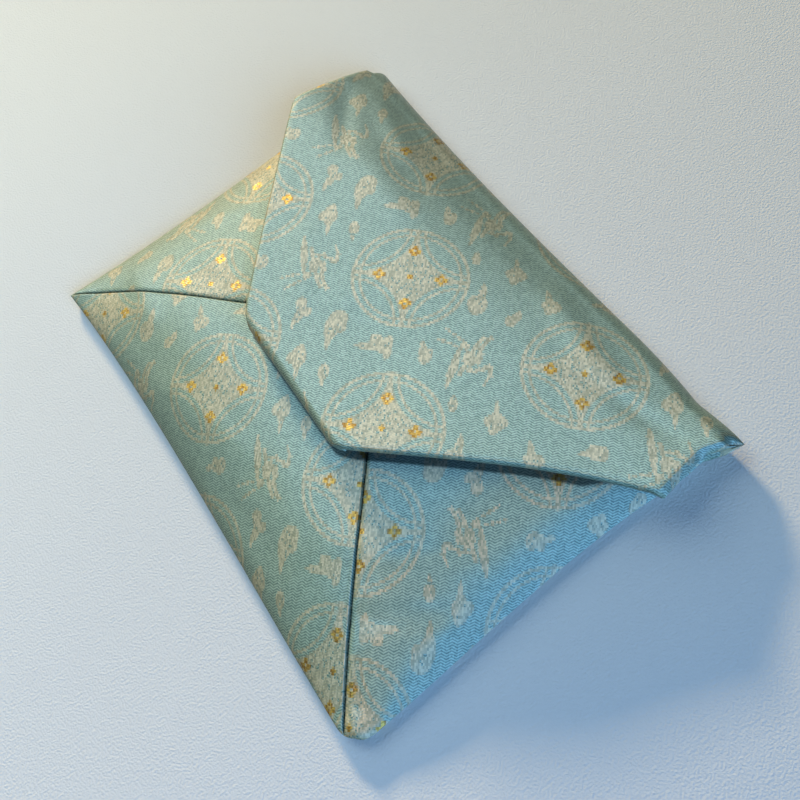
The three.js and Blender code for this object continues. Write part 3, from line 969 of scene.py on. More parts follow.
def mixed(tree, factor, a, b, blend="MIX"):
    """A mix of two colours: the Mix node's colour sockets follow those for numbers and vectors."""
    node = tree.nodes.new("ShaderNodeMix")
    node.data_type = "RGBA"
    node.blend_type = blend
    for index, value in ((0, factor), (6, a), (7, b)):
        plug(tree, value, node.inputs[index])
    return Wire(tree, node.outputs[2])


def toned(tree, share, base, tone):
    """The base colour, multiplied by a tone where the share is 1."""
    return mixed(tree, share, base, mixed(tree, 1.0, base, tone, "MULTIPLY"))


def new_group(name, inputs, outputs):
    """An empty shader node group: its tree, and wires by the name of each input."""
    tree = bpy.data.node_groups.new(name, "ShaderNodeTree")
    for socket_name, kind in inputs:
        tree.interface.new_socket(socket_name, in_out="INPUT", socket_type=f"NodeSocket{kind}")
    for socket_name, kind in outputs:
        tree.interface.new_socket(socket_name, in_out="OUTPUT", socket_type=f"NodeSocket{kind}")
    source = tree.nodes.new("NodeGroupInput")
    wires = {s.name: Wire(tree, s) for s in source.outputs if s.name}
    return tree, wires


def close_group(tree, **results):
    sink = tree.nodes.new("NodeGroupOutput")
    for socket in sink.inputs:
        key = socket.name.lower().replace(" ", "_")
        if key in results:
            plug(tree, results[key], socket)
    return tree


def use_group(tree, group, **values):
    node = tree.nodes.new("ShaderNodeGroup")
    node.node_tree = group
    for key, value in values.items():
        plug(tree, value, node.inputs[key.replace("_", " ").capitalize()])
    return {s.name: Wire(tree, s) for s in node.outputs}


# ---------------------------------------------------------------------------------------------
# The brocade's repeat, charted in units of the weave: roundels in brick order, with cranes,
# clouds and drops in the lanes between their columns
# ---------------------------------------------------------------------------------------------
COLUMN_STEP = 2.91
ROW_STEP = 1.38
THREAD_WIDTH = 0.6          # of one thread along the weft, in pitches

# A roundel: radius and half breadth of its outer and inner rings and of the lens lines in it
RINGS = ((0.95, 0.027), (0.83, 0.021))
LENS_LINES = ((0.95, 0.029), (0.83, 0.023))
RING = RINGS[0][0]
RING_TRIM = 0.01            # the lens lines stop this far past the ring
RING_INSET = 0.02           # the filling and the dots stay this far inside it
LENS_DOT = 0.055            # a dot where two lens lines meet on the ring
FLOWER_AT = 0.515           # a gold flower lies this far out, with four grains round its middle
GRAIN_AT = 0.062
GRAIN = 0.046
HEART = 0.065               # the flower in the roundel's own middle
FLOWER_CROSS = 0.026        # thin dark cross between the grains
CROSS_SHARE = 0.8
LINE_SOFT = 0.010           # how softly a line, a larger form and the filling end
FORM_SOFT = 0.012
FILLING_SOFT = 0.015
CLOUD_RIM = 0.72            # clouds are solid from here out to their outline at 1
CLOUD_SOFT = 0.06
FILLING_STIPPLE = (0.13, 0.05)   # share of threads that stay ground there, and how softly
CLOUD_STIPPLE = (0.08, 0.05)

# The weave: how much of the ground's tone is its zigzag, and how far each kind of thread stands up
ZIGZAG_SHARE = 0.66
ZIGZAG_SLOPE = 0.5
FIGURE_RELIEF = 0.5
GOLD_RELIEF = 1.3
GROUND_RELIEF = 0.38
THREAD_RELIEF = 0.25

# Clouds and drops: middle along weft and warp, then an outline round it, anticlockwise
CLOUDS = {
    "three_lobed": ((-1.68, 1.93), (
        (0.17, -0.05), (0.16, 0.07), (0.07, 0.09), (0.05, 0.22), (-0.04, 0.27), (-0.12, 0.19),
        (-0.10, 0.06), (-0.05, -0.01), (-0.11, -0.12), (-0.11, -0.36), (-0.05, -0.22), (0.02, -0.18),
        (0.03, -0.07))),
    "flame": ((-1.03, 1.75), (
        (0.14, 0.02), (0.13, 0.20), (0.0, 0.27), (-0.10, 0.22), (-0.17, 0.08), (-0.20, -0.12),
        (-0.16, -0.28), (-0.10, -0.52), (-0.04, -0.28), (0.02, -0.17), (0.10, -0.15), (0.16, -0.06))),
    "kite": ((-1.57, 1.08), (
        (0.14, 0.02), (0.10, 0.13), (0.04, 0.26), (-0.03, 0.22), (-0.10, 0.12), (-0.19, -0.06),
        (-0.08, -0.13), (-0.03, -0.20), (0.03, -0.43), (0.05, -0.25), (0.07, -0.12), (0.13, -0.08))),
    "drop": ((-1.10, 0.87), (
        (0.09, 0.0), (0.07, 0.08), (0.0, 0.15), (-0.07, 0.08), (-0.09, -0.02), (-0.04, -0.12),
        (0.02, -0.28), (0.05, -0.12), (0.09, -0.07))),
    "drifting": ((-0.24, 1.42), (
        (0.15, 0.0), (0.17, 0.10), (0.12, 0.20), (0.0, 0.14), (-0.09, 0.22), (-0.20, 0.20),
        (-0.20, 0.06), (-0.46, -0.03), (-0.22, -0.08), (-0.08, -0.08), (0.02, -0.12), (0.08, -0.24),
        (0.14, -0.20))),
    "leaning_drop": ((0.47, 1.37), (
        (0.10, -0.05), (0.09, 0.08), (0.0, 0.10), (-0.09, 0.24), (-0.10, 0.10), (-0.10, -0.05),
        (-0.08, -0.17), (0.0, -0.20), (0.07, -0.15))),
    "rising_flame": ((1.13, -0.32), (
        (0.17, -0.05), (0.12, 0.10), (0.07, 0.39), (0.0, 0.12), (-0.12, 0.05), (-0.13, -0.12),
        (-0.02, -0.27), (0.10, -0.22))),
    "comma": ((1.70, -0.60), (
        (0.08, -0.02), (0.13, 0.22), (0.02, 0.11), (-0.07, 0.06), (-0.09, -0.03), (-0.03, -0.12),
        (0.06, -0.09))),
    "rising_kite": ((1.68, 0.33), (
        (0.20, 0.0), (0.10, 0.12), (0.04, 0.18), (-0.02, 0.39), (-0.04, 0.16), (-0.10, 0.11),
        (-0.18, 0.03), (-0.10, -0.10), (-0.04, -0.23), (0.06, -0.14), (0.13, -0.08))),
    "small_drop": ((1.02, 0.53), (
        (0.07, -0.02), (0.05, 0.07), (-0.01, 0.17), (-0.06, 0.06), (-0.07, -0.03), (-0.01, -0.13),
        (0.06, -0.08))),
    "rising_lobed": ((2.29, -0.20), (
        (0.18, 0.0), (0.10, 0.10), (0.02, 0.10), (-0.09, 0.33), (-0.08, 0.10), (-0.15, 0.02),
        (-0.10, -0.08), (-0.05, -0.20), (0.03, -0.14), (0.12, -0.10))),
    "hooked": ((3.20, 0.07), (
        (0.16, 0.03), (0.10, 0.13), (0.0, 0.10), (-0.10, 0.14), (-0.14, 0.03), (-0.30, -0.08),
        (-0.12, -0.08), (-0.02, -0.13), (0.10, -0.12))),
}

# The crane's feathers, neck and legs: each from one point and breadth to another
CRANE_MIDDLE = (-1.60, 0.05)
CRANE_STROKES = {
    "far_wing": (-0.20, -0.10, 0.05, -0.29, 0.44, 0.06),
    "far_wing_tip": (-0.24, 0.20, 0.06, -0.31, 0.55, 0.02),
    "shoulder_lobe": (-0.15, 0.31, 0.04, -0.10, 0.18, 0.05),
    "shoulder": (-0.10, 0.20, 0.03, 0.10, 0.23, 0.035),
    "neck": (0.10, 0.22, 0.035, 0.30, 0.11, 0.04),
    "throat": (0.31, 0.13, 0.04, 0.34, 0.26, 0.03),
    "head": (0.34, 0.26, 0.03, 0.26, 0.44, 0.015),
    "breast": (-0.03, 0.06, 0.10, -0.02, -0.06, 0.08),
    "flank": (0.10, 0.06, 0.05, 0.14, -0.10, 0.045),
    "near_wing": (0.10, -0.18, 0.05, 0.27, -0.42, 0.035),
    "near_wing_tip": (0.02, -0.18, 0.04, 0.16, -0.40, 0.03),
    "rump": (-0.12, -0.20, 0.065, -0.14, -0.24, 0.05),
    "upper_leg": (-0.16, -0.16, 0.018, -0.55, -0.27, 0.022),
    "lower_leg": (-0.15, -0.28, 0.018, -0.44, -0.47, 0.022),
}
CRANE_MIRROR = (2.78, -1.33)       # the other crane is this far on, and mirrored along the warp
STROKE_GROWTH = 0.008              # the weave spreads each stroke by this
CRANE_SOFT = 0.008
FEATHER_PITCH = 0.105              # thin dark lines between the feathers
FEATHER_SLANT = 0.35
FEATHER_LINE = (0.45, 0.2)
FEATHER_CUT = 0.022


def outline_curve(tree, angle, outline):
    """Distance of an outline from its middle, by direction."""
    node = tree.nodes.new("ShaderNodeFloatCurve")
    curve = node.mapping.curves[0]
    at = sorted((math.atan2(y, x) / (2 * math.pi) + 0.5, math.hypot(x, y)) for x, y in outline)
    (first, first_reach), (last, last_reach) = at[0], at[-1]
    ends = lerp(last_reach, first_reach, (1 - last) / (first + 1 - last))
    at = [(0.0, ends), *at, (1.0, ends)]
    while len(curve.points) < len(at):
        curve.points.new(0.5, 0.5)
    for point, place in zip(curve.points, at):
        point.location = place
        point.handle_type = "VECTOR"
    node.mapping.update()
    plug(tree, angle, node.inputs["Value"])
    return Wire(tree, node.outputs[0])


def drift_group():
    """All clouds and drops: how far out a point lies in the nearest one, 1 on its outline."""
    tree, given = new_group("brocade_clouds", [("Cloth", "Vector")], [("Reach", "Float")])
    nearest = None
    for middle, outline in CLOUDS.values():
        local = vector_math("SUBTRACT", given["Cloth"], (*middle, 0.0))
        local = vector_math("WRAP", local, (COLUMN_STEP, ROW_STEP, 1.0), (-COLUMN_STEP, -ROW_STEP, -1.0))
        x, y, _ = parts(local)
        turn = y.math("ARCTAN2", x).math("MULTIPLY_ADD", 0.5 / math.pi, 0.5)
        reach = vector_math("LENGTH", local, value=True) / outline_curve(tree, turn, outline)
        nearest = reach if nearest is None else smallest(nearest, reach)
    return close_group(tree, reach=nearest)


def crane_group():
    """A flying crane on either side of the roundels: distance inside its nearest stroke."""
    tree, given = new_group("brocade_cranes", [("Cloth", "Vector")], [("Inside", "Float")])
    a, b, _ = parts(given["Cloth"])
    first_a = (a - CRANE_MIDDLE[0]).wrapped(-COLUMN_STEP, COLUMN_STEP)
    first_b = (b - CRANE_MIDDLE[1]).wrapped(-ROW_STEP, ROW_STEP)
    other_a = (first_a - CRANE_MIRROR[0]).wrapped(-COLUMN_STEP, COLUMN_STEP)
    mirror = CRANE_MIRROR[1] - 2 * CRANE_MIDDLE[1]
    other_b = (mirror - (b - CRANE_MIDDLE[1])).wrapped(-ROW_STEP, ROW_STEP)
    other = abs(first_a).math("GREATER_THAN", COLUMN_STEP / 2)
    x = first_a + other * (other_a - first_a)
    y = first_b + other * (other_b - first_b)
    local = joined(x, y)
    inside = None
    for x0, y0, r0, x1, y1, r1 in CRANE_STROKES.values():
        run = (x1 - x0, y1 - y0, 0.0)
        length2 = run[0] ** 2 + run[1] ** 2
        start = vector_math("SUBTRACT", local, (x0, y0, 0.0))
        along = vector_math("DOT_PRODUCT", start, run, value=True).math("MULTIPLY", 1 / length2)
        along.socket.node.use_clamp = True
        off = vector_math("SUBTRACT", start, vector_math("SCALE", fixed_vector(tree, run), scale=along))
        breadth = along.math("MULTIPLY_ADD", r1 - r0, r0 + STROKE_GROWTH)
        depth = breadth - vector_math("LENGTH", off, value=True)
        inside = depth if inside is None else biggest(inside, depth)
    feather = ((x + y * FEATHER_SLANT) * (2 * math.pi / FEATHER_PITCH)).math("SINE")
    return close_group(tree, inside=inside - feather.above(*FEATHER_LINE) * FEATHER_CUT)


def fixed_vector(tree, values):
    node = tree.nodes.new("ShaderNodeCombineXYZ")
    for socket, value in zip(node.inputs, values):
        socket.default_value = value
    return Wire(tree, node.outputs[0])


def roundel_group():
    """The interlaced roundels with their small gold flowers."""
    tree, given = new_group("brocade_roundels", [("Cloth", "Vector")],
                            [("Lines", "Float"), ("Filling", "Float"), ("Flower", "Float")])
    a, b, _ = parts(given["Cloth"])
    column = ((a + COLUMN_STEP / 2) / COLUMN_STEP).math("FLOOR").math("FLOORED_MODULO", 2.0)
    x = abs(a.wrapped(-COLUMN_STEP / 2, COLUMN_STEP / 2))
    y = abs((b - column * ROW_STEP).wrapped(-ROW_STEP, ROW_STEP))
    far, near = biggest(x, y), smallest(x, y)
    radius = length(x, y)
    arc = length(far - RING, near - RING)
    rings, lens = (biggest(*(abs(reach - at).below(half, LINE_SOFT) for at, half in circles))
                   for reach, circles in ((radius, RINGS), (arc, LENS_LINES)))
    lens = lens * radius.below(RING + RING_TRIM, FORM_SOFT)
    dots = length(far - RING + RING_INSET, near).below(LENS_DOT, FORM_SOFT)
    lines = biggest(biggest(rings, lens), dots)
    filling = arc.above(RING, FILLING_SOFT) * radius.below(RING - RING_INSET, FORM_SOFT)
    across = abs(far - FLOWER_AT)
    grain = length(biggest(across, near) - GRAIN_AT, smallest(across, near))
    flower = biggest(grain.below(GRAIN, LINE_SOFT), (x + y).below(HEART, FORM_SOFT))
    flower = flower - (across + near).below(FLOWER_CROSS, LINE_SOFT) * CROSS_SHARE
    return close_group(tree, lines=lines, filling=filling, flower=flower)


def brocade_group(clouds, cranes, roundels):
    """The whole weave: where figure and gold threads lie, how the ground lies, and relief."""
    tree, given = new_group(
        "brocade_weave",
        [("Cloth", "Vector"), ("Thread pitch", "Float"), ("Zigzag length", "Float")],
        [("Figure", "Float"), ("Gold", "Float"), ("Ground", "Float"), ("Speckle", "Float"),
         ("Relief", "Float")],
    )
    a, b, _ = parts(given["Cloth"])
    pitch = given["Thread pitch"]
    thread_a = (a / (pitch * THREAD_WIDTH)).math("FLOOR") + 0.5
    thread_b = (b / pitch).math("FLOOR") + 0.5
    noise = tree.nodes.new("ShaderNodeTexWhiteNoise")
    noise.noise_dimensions = "2D"
    plug(tree, joined(thread_a, thread_b), noise.inputs["Vector"])
    speckle = Wire(tree, noise.outputs["Value"])
    woven = joined(thread_a * pitch * THREAD_WIDTH, thread_b * pitch)
    roundel = use_group(tree, roundels, cloth=woven)
    reach = use_group(tree, clouds, cloth=woven)["Reach"]
    inside = use_group(tree, cranes, cloth=woven)["Inside"]
    cloud = reach.below(1.0, CLOUD_SOFT)
    rim = reach.above(CLOUD_RIM, CLOUD_SOFT) * cloud
    crane = inside.above(0.0, CRANE_SOFT)
    solid = biggest(biggest(roundel["Lines"], rim), crane)
    stippled = biggest(roundel["Filling"] * speckle.above(*FILLING_STIPPLE),
                       cloud * speckle.above(*CLOUD_STIPPLE))
    gold = roundel["Flower"]
    figure = biggest(biggest(solid, stippled), gold)
    zigzag = (b + a.math("PINGPONG", given["Zigzag length"]) * ZIGZAG_SLOPE) / pitch
    ground = wave(zigzag, 2 * math.pi) * ZIGZAG_SHARE + speckle * (1 - ZIGZAG_SHARE)
    relief = figure * FIGURE_RELIEF + gold * GOLD_RELIEF
    relief = relief + ground * GROUND_RELIEF + speckle * THREAD_RELIEF
    return close_group(tree, figure=figure, gold=gold, ground=ground, speckle=speckle, relief=relief)


def new_material(name):
    material = bpy.data.materials.new(name)
    material.use_nodes = True
    tree = material.node_tree
    tree.nodes.clear()
    shader = tree.nodes.new("ShaderNodeBsdfPrincipled")
    output = tree.nodes.new("ShaderNodeOutputMaterial")
    tree.links.new(shader.outputs[0], output.inputs["Surface"])
    return material, tree, shader


def cloth_place(tree):
    node = tree.nodes.new("ShaderNodeUVMap")
    node.uv_map = "weave"
    return Wire(tree, node.outputs[0])


def object_place(tree):
    return Wire(tree, tree.nodes.new("ShaderNodeTexCoord").outputs["Object"])


def soft_noise(tree, place, scale, detail):
    node = tree.nodes.new("ShaderNodeTexNoise")
    plug(tree, place, node.inputs["Vector"])
    node.inputs["Scale"].default_value = scale
    node.inputs["Detail"].default_value = detail
    return Wire(tree, node.outputs["Fac"])


def add_bump(tree, shader, height, distance):
    bump = tree.nodes.new("ShaderNodeBump")
    bump.inputs["Strength"].default_value = 1.0
    bump.inputs["Distance"].default_value = distance
    plug(tree, height, bump.inputs["Height"])
    tree.links.new(bump.outputs[0], shader.inputs["Normal"])


SILK_ROUGHNESS = 0.62
FIGURE_SHINE = 0.06         # the figure's long threads are this much smoother
GOLD_METAL = 0.55
SILK_RELIEF = 0.0002        # in metres, as the next one
BACKING_RELIEF = 0.0001

# Light and shade painted into the silk's colour, by the way that the surface faces: painted shade
# on steep slopes, darker and olive on slopes facing -Y and darker on slopes facing +Y, a painted warm
# sheen on the right panel's slope, painted blue light on its rim, a painted cool shade on the left
# panel, and a painted shadow on the front along the flap's edge
PAINTED_LIGHT_TONES = {
    "steep": (0.56, 0.51, 0.44, 1.0),
    "front": (0.82, 0.79, 0.67, 1.0),
    "right": (1.22, 0.94, 0.77, 1.0),
    "right_rim": (0.82, 0.94, 1.04, 1.0),
    "left": (0.88, 0.94, 0.99, 1.0),
    "back": (0.60, 0.68, 0.68, 1.0),
    "painted_flap_shadow": (0.16, 0.18, 0.19, 1.0),
}


def painted_light_masks(tree):
    """How far each tone of painted light and shade counts: by the way that the surface faces, and by
    distance from the flap's edge for the painted shadow.
    """
    right, back, _ = parts(Wire(tree, tree.nodes.new("ShaderNodeTexCoord").outputs["Normal"]))
    steep = biggest(biggest(back * 1.4, back * -0.8), right * -1.3)
    attribute = tree.nodes.new("ShaderNodeAttribute")
    attribute.attribute_name = "beyond_flap"
    return {
        "steep": steep.ramp(0.05, 0.7),
        "front": back.ramp(-0.05, -0.25),
        "right": right.ramp(0.10, 0.20) * right.ramp(0.38, 0.26),
        "right_rim": right.ramp(0.28, 0.42),
        "left": right.ramp(-0.08, -0.28),
        "back": back.ramp(0.12, 0.45),
        # painted shadow on the front, dark inside the flap's edge and fading out a millimetre beyond it
        "painted_flap_shadow": Wire(tree, attribute.outputs["Fac"]).ramp(1.0, 0.0),
    }


def brocade_material(colours):
    """The silk side: woven ground and figure, gold flowers, and light and shade painted on by the way
    that it faces.
    """
    weave = brocade_group(drift_group(), crane_group(), roundel_group())
    material, tree, shader = new_material("silk_brocade")
    made = use_group(tree, weave, cloth=cloth_place(tree), thread_pitch=colours.thread_pitch,
                     zigzag_length=colours.zigzag_length)
    ground = mixed(tree, made["Ground"], (*colours.ground_dark, 1), (*colours.ground_light, 1))
    figure = mixed(tree, made["Speckle"], (*colours.figure_dark, 1), (*colours.figure_light, 1))
    base = mixed(tree, made["Figure"], ground, figure)
    gold = mixed(tree, made["Speckle"], (*colours.gold_dark, 1), (*colours.gold_light, 1))
    base = mixed(tree, made["Gold"], base, gold)
    # lay the painted light and shade over the woven colours
    for where, share in painted_light_masks(tree).items():
        base = toned(tree, share, base, PAINTED_LIGHT_TONES[where])
    plug(tree, base, shader.inputs["Base Color"])
    plug(tree, made["Gold"] * GOLD_METAL, shader.inputs["Metallic"])
    plug(tree, made["Figure"] * -FIGURE_SHINE + SILK_ROUGHNESS, shader.inputs["Roughness"])
    shader.inputs["Specular IOR Level"].default_value = 0.22
    shader.inputs["Sheen Weight"].default_value = 0.12
    shader.inputs["Sheen Roughness"].default_value = 0.4
    add_bump(tree, shader, made["Relief"], SILK_RELIEF)
    return material


def backing_material(colours):
    """The inner side, where the back of the same threads shows as plain ribs."""
    material, tree, shader = new_material("cloth_inner_side")
    a, b, _ = parts(cloth_place(tree))
    ribs = wave(b, 2 * math.pi / colours.thread_pitch)
    base = mixed(tree, ribs, (*colours.ground_dark, 1), (*colours.figure_dark, 1))
    plug(tree, base, shader.inputs["Base Color"])
    shader.inputs["Roughness"].default_value = 0.8
    add_bump(tree, shader, ribs, BACKING_RELIEF)
    return material


# ---------------------------------------------------------------------------------------------
# Sizes and colours that a user would change
# ---------------------------------------------------------------------------------------------
def colour_setting(name, description, default):
    return bpy.props.FloatVectorProperty(name=name, description=description, subtype="COLOR",
                                         size=3, min=0, max=1, default=default)


def length_setting(name, description, default, least, most):
    return bpy.props.FloatProperty(name=name, description=description, default=default,
                                   min=least, max=most, unit="LENGTH")


def number_setting(name, description, default, least, most):
    return bpy.props.FloatProperty(name=name, description=description, default=default,
                                   min=least, max=most)


class PouchBrocade(bpy.types.PropertyGroup):
    """Threads and repeat of the brocade"""
    ground_light: colour_setting(
        "Ground, lit threads", "Light threads of the zigzag ground", (0.64, 0.84, 0.72))
    ground_dark: colour_setting(
        "Ground, deep threads", "Dark threads of the zigzag ground", (0.15, 0.25, 0.225))
    figure_light: colour_setting(
        "Figure, lit threads", "Light threads of roundels, cranes and clouds", (0.86, 0.79, 0.58))
    figure_dark: colour_setting(
        "Figure, deep threads", "Champagne threads of roundels, cranes and clouds",
        (0.40, 0.41, 0.29))
    gold_light: colour_setting(
        "Gold, lit threads", "Light threads of the small gold flowers", (0.95, 0.68, 0.18))
    gold_dark: colour_setting(
        "Gold, deep threads", "Dark threads of the small gold flowers", (0.45, 0.24, 0.06))
    thread_pitch: number_setting(
        "Thread pitch", "Pitch of the ground's lines, in units of the repeat", 0.042, 0.01, 0.2)
    zigzag_length: number_setting(
        "Zigzag length", "Half a wave of the zigzag, in units of the repeat", 0.0775, 0.01, 0.5)


class PouchSewing(bpy.types.PropertyGroup):
    """Slip stitches of the two seams"""
    stitch_spacing: length_setting(
        "Stitch spacing", "From one slip stitch of a seam to the next", 0.0032, 0.001, 0.02)
    stitch_length: length_setting(
        "Stitch length", "Length of the thread that bridges a seam", 0.0011, 0.0003, 0.005)
    thread_radius: length_setting(
        "Thread radius", "Radius of the sewing thread", 0.00016, 0.00005, 0.001)
    thread_colour: colour_setting(
        "Thread colour", "Colour of the sewing thread", (0.40, 0.55, 0.52))


class PouchStage(bpy.types.PropertyGroup):
    """Floor, backdrop and light"""
    floor_size: length_setting(
        "Floor size", "Side of the sheet of paper that the pouch lies on", 6.0, 0.5, 50)
    floor_colour: colour_setting("Floor colour", "Colour of the paper", (0.70, 0.70, 0.71))
    light_level: number_setting(
        "Light level", "Share of the three lights' own power", 1.0, 0, 20)
    sky_colour: colour_setting(
        "Sky light", "Faint light from all round", (0.026, 0.031, 0.038))
    backdrop_colour: colour_setting(
        "Backdrop", "Colour of the backdrop that the far end of the floor runs into",
        (0.52, 0.55, 0.58))


# Lights: power, colour, degrees round from +X, degrees above the floor, distance, width, height
LIGHTS = {
    "low_window": (300.0, (1.0, 0.77, 0.42), 169.0, 14.5, 4.5, 0.78, 0.33),
    "soft_window": (14.5, (0.66, 0.86, 0.94), 192.0, 44.0, 1.6, 1.2, 1.2),
    "blue_sky": (36.5, (0.32, 0.59, 1.0), 3.0, 31.0, 2.0, 1.6, 1.2),
}

# Light and shade painted on the paper: brighter near, darker and yellower far off, darker and bluer
# on the right, brighter and warmer on the left; where each shift lies, in metres from the middle of the
# pouch
PAPER_NEAR_PAINTED_LIGHT = (1.20, 1.19, 1.18, 1.0)
PAPER_FAR_PAINTED_SHADE = (0.86, 0.81, 0.71, 1.0)
PAPER_RIGHT_PAINTED_SHADE = (0.82, 0.90, 1.02, 1.0)
PAPER_LEFT_PAINTED_LIGHT = (1.20, 1.18, 1.10, 1.0)
NEAR_TO_FAR = (-0.28, 0.28)
RIGHT_FROM = (0.04, 0.17)
LEFT_FROM = (0.08, -0.26)
PAPER_TO_BACKDROP = (0.34, 0.95)
BLACK = (0.0, 0.0, 0.0, 1.0)

# The camera's own right and up directions, its place in metres and its lens in millimetres
CAMERA_RIGHT = (0.55058, 0.80273, -0.22909)
CAMERA_UP = (-0.69507, 0.59282, 0.40674)
CAMERA_PLACE = (0.15434, -0.01911, 0.26560)
CAMERA_LENS = 45
CAMERA_SENSOR = 36

# Slip stitches, in millimetres: how deep in the trough they lie, and the turn that a hand gives
STITCH_DEPTH = 0.85
STITCH_TURN = 0.25
STITCH_TURN_STEP = 7.3
SEAM_LENGTH = 1.5           # of a seam, in shares of its rise
BANK = 0.35                 # to either side of the seam


def fresh_object(name, mesh):
    made = bpy.data.objects.new(name, mesh)
    bpy.context.collection.objects.link(made)
    return made


def deselect():
    for each in bpy.context.selected_objects:
        each.select_set(False)


def stitch_places(spacing):
    """Place and turn of each stitch, evenly along both seams and square to them."""
    rise = MEETING_Y + HALF_DEPTH
    count = int(rise * SEAM_LENGTH * MM / spacing)
    places = []
    for side in (-1, 1):
        for k in range(1, count):
            y = -HALF_DEPTH + rise * k / count
            x = side * seam_reach(y, side)
            banks = [placed(x + s * side * BANK, y + s * BANK, 0) for s in (-1, 1)]
            across = math.atan2(banks[1][1] - banks[0][1], banks[1][0] - banks[0][0])
            px, py, _ = placed(x, y, 0)
            place = Vector((px, py, front_swell(x, y) - STITCH_DEPTH)) * MM
            places.append((place, across + STITCH_TURN * math.sin(STITCH_TURN_STEP * k + side)))
    return places


def sewing_material(thread_colour):
    material, tree, shader = new_material("sewing_silk")
    fleck = soft_noise(tree, object_place(tree), 4000.0, 2.0)
    base = mixed(tree, fleck, (*thread_colour, 1), (*(c * 0.7 for c in thread_colour), 1))
    plug(tree, base, shader.inputs["Base Color"])
    shader.inputs["Roughness"].default_value = 0.45
    return material


def paper_material(stage):
    """Pale paper with painted light and shade: brighter near and on the left, darker far off and bluer
    on the right; it runs into the backdrop far out.
    """
    material, tree, shader = new_material("pale_paper")
    grain = soft_noise(tree, object_place(tree), 1500.0, 2.0)
    tint = soft_noise(tree, object_place(tree), 9.0, 1.0)
    lit = (*stage.floor_colour, 1)
    shade = (*(c * 0.97 for c in stage.floor_colour), 1)
    across, away, _ = parts(object_place(tree))
    # painted light falloff from near to far, then painted shade to the right and painted light to the
    # left
    painted_light_falloff = mixed(tree, away.ramp(*NEAR_TO_FAR), PAPER_NEAR_PAINTED_LIGHT, PAPER_FAR_PAINTED_SHADE)
    paper = mixed(tree, 1.0, mixed(tree, tint, lit, shade), painted_light_falloff, "MULTIPLY")
    paper = toned(tree, across.ramp(*RIGHT_FROM), paper, PAPER_RIGHT_PAINTED_SHADE)
    paper = toned(tree, across.ramp(*LEFT_FROM), paper, PAPER_LEFT_PAINTED_LIGHT)
    distance = vector_math("LENGTH", object_place(tree), value=True)
    far = distance.ramp(*PAPER_TO_BACKDROP)
    plug(tree, mixed(tree, far, paper, BLACK), shader.inputs["Base Color"])
    shader.inputs["Roughness"].default_value = 0.9
    plug(tree, far * -0.3 + 0.3, shader.inputs["Specular IOR Level"])
    add_bump(tree, shader, grain, 0.00025)
    plug(tree, (*stage.backdrop_colour, 1), shader.inputs["Emission Color"])
    plug(tree, far, shader.inputs["Emission Strength"])
    return material


def hang_lamp(context, level, name):
    """One of the lights, turned to the middle of the pouch."""
    power, colour, degrees, rise, distance, width, height = LIGHTS[name]
    light = bpy.data.lights.new(name, "AREA")
    light.shape = "RECTANGLE"
    light.size, light.size_y = width, height
    light.energy = power * level
    light.color = colour
    lamp = bpy.data.objects.new(name, light)
    context.collection.objects.link(lamp)
    turn, rise = math.radians(degrees), math.radians(rise)
    flat = distance * math.cos(rise)
    lamp.location = (flat * math.cos(turn), flat * math.sin(turn), distance * math.sin(rise))
    lamp.rotation_euler = Vector(lamp.location).to_track_quat("Z", "Y").to_euler()


def set_sky(context, stage):
    """Faint light from all round, which the camera sees as the backdrop."""
    world = bpy.data.worlds.new("soft_sky")
    world.use_nodes = True
    context.scene.world = world
    tree = world.node_tree
    seen = Wire(tree, tree.nodes.new("ShaderNodeLightPath").outputs["Is Camera Ray"])
    shades = [(*colour, 1) for colour in (stage.sky_colour, stage.backdrop_colour)]
    plug(tree, mixed(tree, seen, *shades), tree.nodes["Background"].inputs["Color"])


def set_camera(context):
    camera = bpy.data.objects.new("camera", bpy.data.cameras.new("camera"))
    context.collection.objects.link(camera)
    camera.data.sensor_width = CAMERA_SENSOR
    camera.data.lens = CAMERA_LENS
    camera.data.clip_start = 0.01
    right, up = Vector(CAMERA_RIGHT), Vector(CAMERA_UP)
    turn = Matrix((right, up, right.cross(up))).transposed()
    camera.location = CAMERA_PLACE
    camera.rotation_euler = turn.to_euler()
    context.scene.camera = camera


class MakePouchCloth(bpy.types.Operator):
    """Fold the square of brocade into the pouch"""
    bl_idname = "pouch.make_cloth"
    bl_label = "Brocade cloth"

    def execute(self, context):
        piece = fresh_object("silk_pouch", build_cloth_mesh("silk_pouch"))
        colours = context.scene.pouch_brocade
        piece.data.materials.append(brocade_material(colours))
        piece.data.materials.append(backing_material(colours))
        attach(piece, "root")
        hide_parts("pouch_cloth")
        return {"FINISHED"}


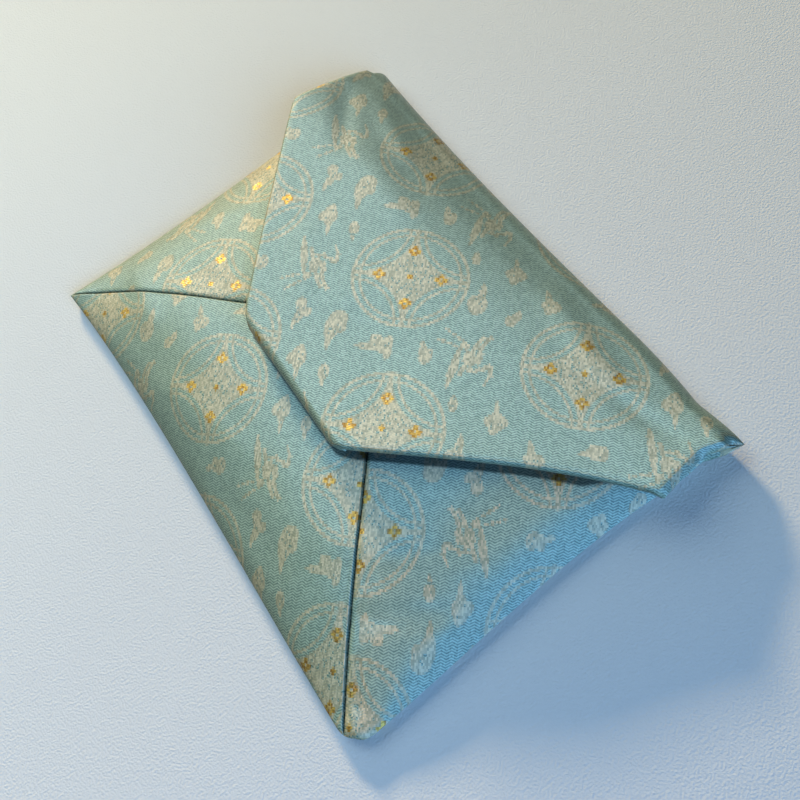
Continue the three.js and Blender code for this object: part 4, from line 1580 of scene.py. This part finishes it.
class SewPouchSeams(bpy.types.Operator):
    """Slip stitches across the two seams of the front"""
    bl_idname = "pouch.sew_seams"
    bl_label = "Seam stitches"

    def execute(self, context):
        sewing = context.scene.pouch_sewing
        deselect()
        bpy.ops.mesh.primitive_uv_sphere_add(segments=8, ring_count=6, radius=1.0)
        thread = context.active_object
        thread.scale = (sewing.stitch_length / 2, sewing.thread_radius, sewing.thread_radius)
        bpy.ops.object.transform_apply(location=False, rotation=False, scale=True)
        for place, turn in stitch_places(sewing.stitch_spacing):
            copy = fresh_object("stitch", thread.data.copy())
            copy.data.transform(Matrix.Translation(place) @ Matrix.Rotation(turn, 4, "Z"))
            copy.select_set(True)
        bpy.data.objects.remove(thread)
        context.view_layer.objects.active = copy
        bpy.ops.object.join()
        seams = context.active_object
        seams.name = seams.data.name = "seam_stitches"
        seams.data.polygons.foreach_set("use_smooth", [True] * len(seams.data.polygons))
        seams.data.materials.clear()
        seams.data.materials.append(sewing_material(sewing.thread_colour))
        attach(seams, "root")
        return {"FINISHED"}


class SetPouchStage(bpy.types.Operator):
    """Pale paper floor, three soft lights, sky light and the camera"""
    bl_idname = "pouch.set_stage"
    bl_label = "Stage"

    def execute(self, context):
        stage = context.scene.pouch_stage
        deselect()
        bpy.ops.mesh.primitive_plane_add(size=stage.floor_size, location=(0, 0, 0))
        floor = context.active_object
        floor.name = "stage_floor"
        floor.data.materials.append(paper_material(stage))
        for name in LIGHTS:
            hang_lamp(context, stage.light_level, name)
        set_sky(context, stage)
        set_camera(context)
        context.scene.view_settings.view_transform = "Standard"
        return {"FINISHED"}


OPERATORS = (SetPouchStage, MakePouchCloth, SewPouchSeams)
PROPERTY_GROUPS = {"pouch_brocade": PouchBrocade, "pouch_sewing": PouchSewing,
                   "pouch_stage": PouchStage}


class POUCH_PT_panel(bpy.types.Panel):
    bl_idname = "POUCH_PT_panel"
    bl_label = "Teaware Pouch"
    bl_space_type = "VIEW_3D"
    bl_region_type = "UI"
    bl_category = "Pouch"

    def draw(self, context):
        layout = self.layout
        for operator in OPERATORS:
            layout.operator(operator.bl_idname)
        for name in PROPERTY_GROUPS:
            box = layout.box()
            group = getattr(context.scene, name)
            for key in group.__annotations__:
                box.prop(group, key)


def register():
    for cls in (*PROPERTY_GROUPS.values(), *OPERATORS, POUCH_PT_panel):
        bpy.utils.register_class(cls)
    for name, cls in PROPERTY_GROUPS.items():
        setattr(bpy.types.Scene, name, bpy.props.PointerProperty(type=cls))


def unregister():
    for name in PROPERTY_GROUPS:
        delattr(bpy.types.Scene, name)
    for cls in reversed((*PROPERTY_GROUPS.values(), *OPERATORS, POUCH_PT_panel)):
        bpy.utils.unregister_class(cls)


def main():
    register()
    bpy.ops.pouch.set_stage()
    bpy.ops.pouch.make_cloth()
    bpy.ops.pouch.sew_seams()


if __name__ == "__main__":
    main()
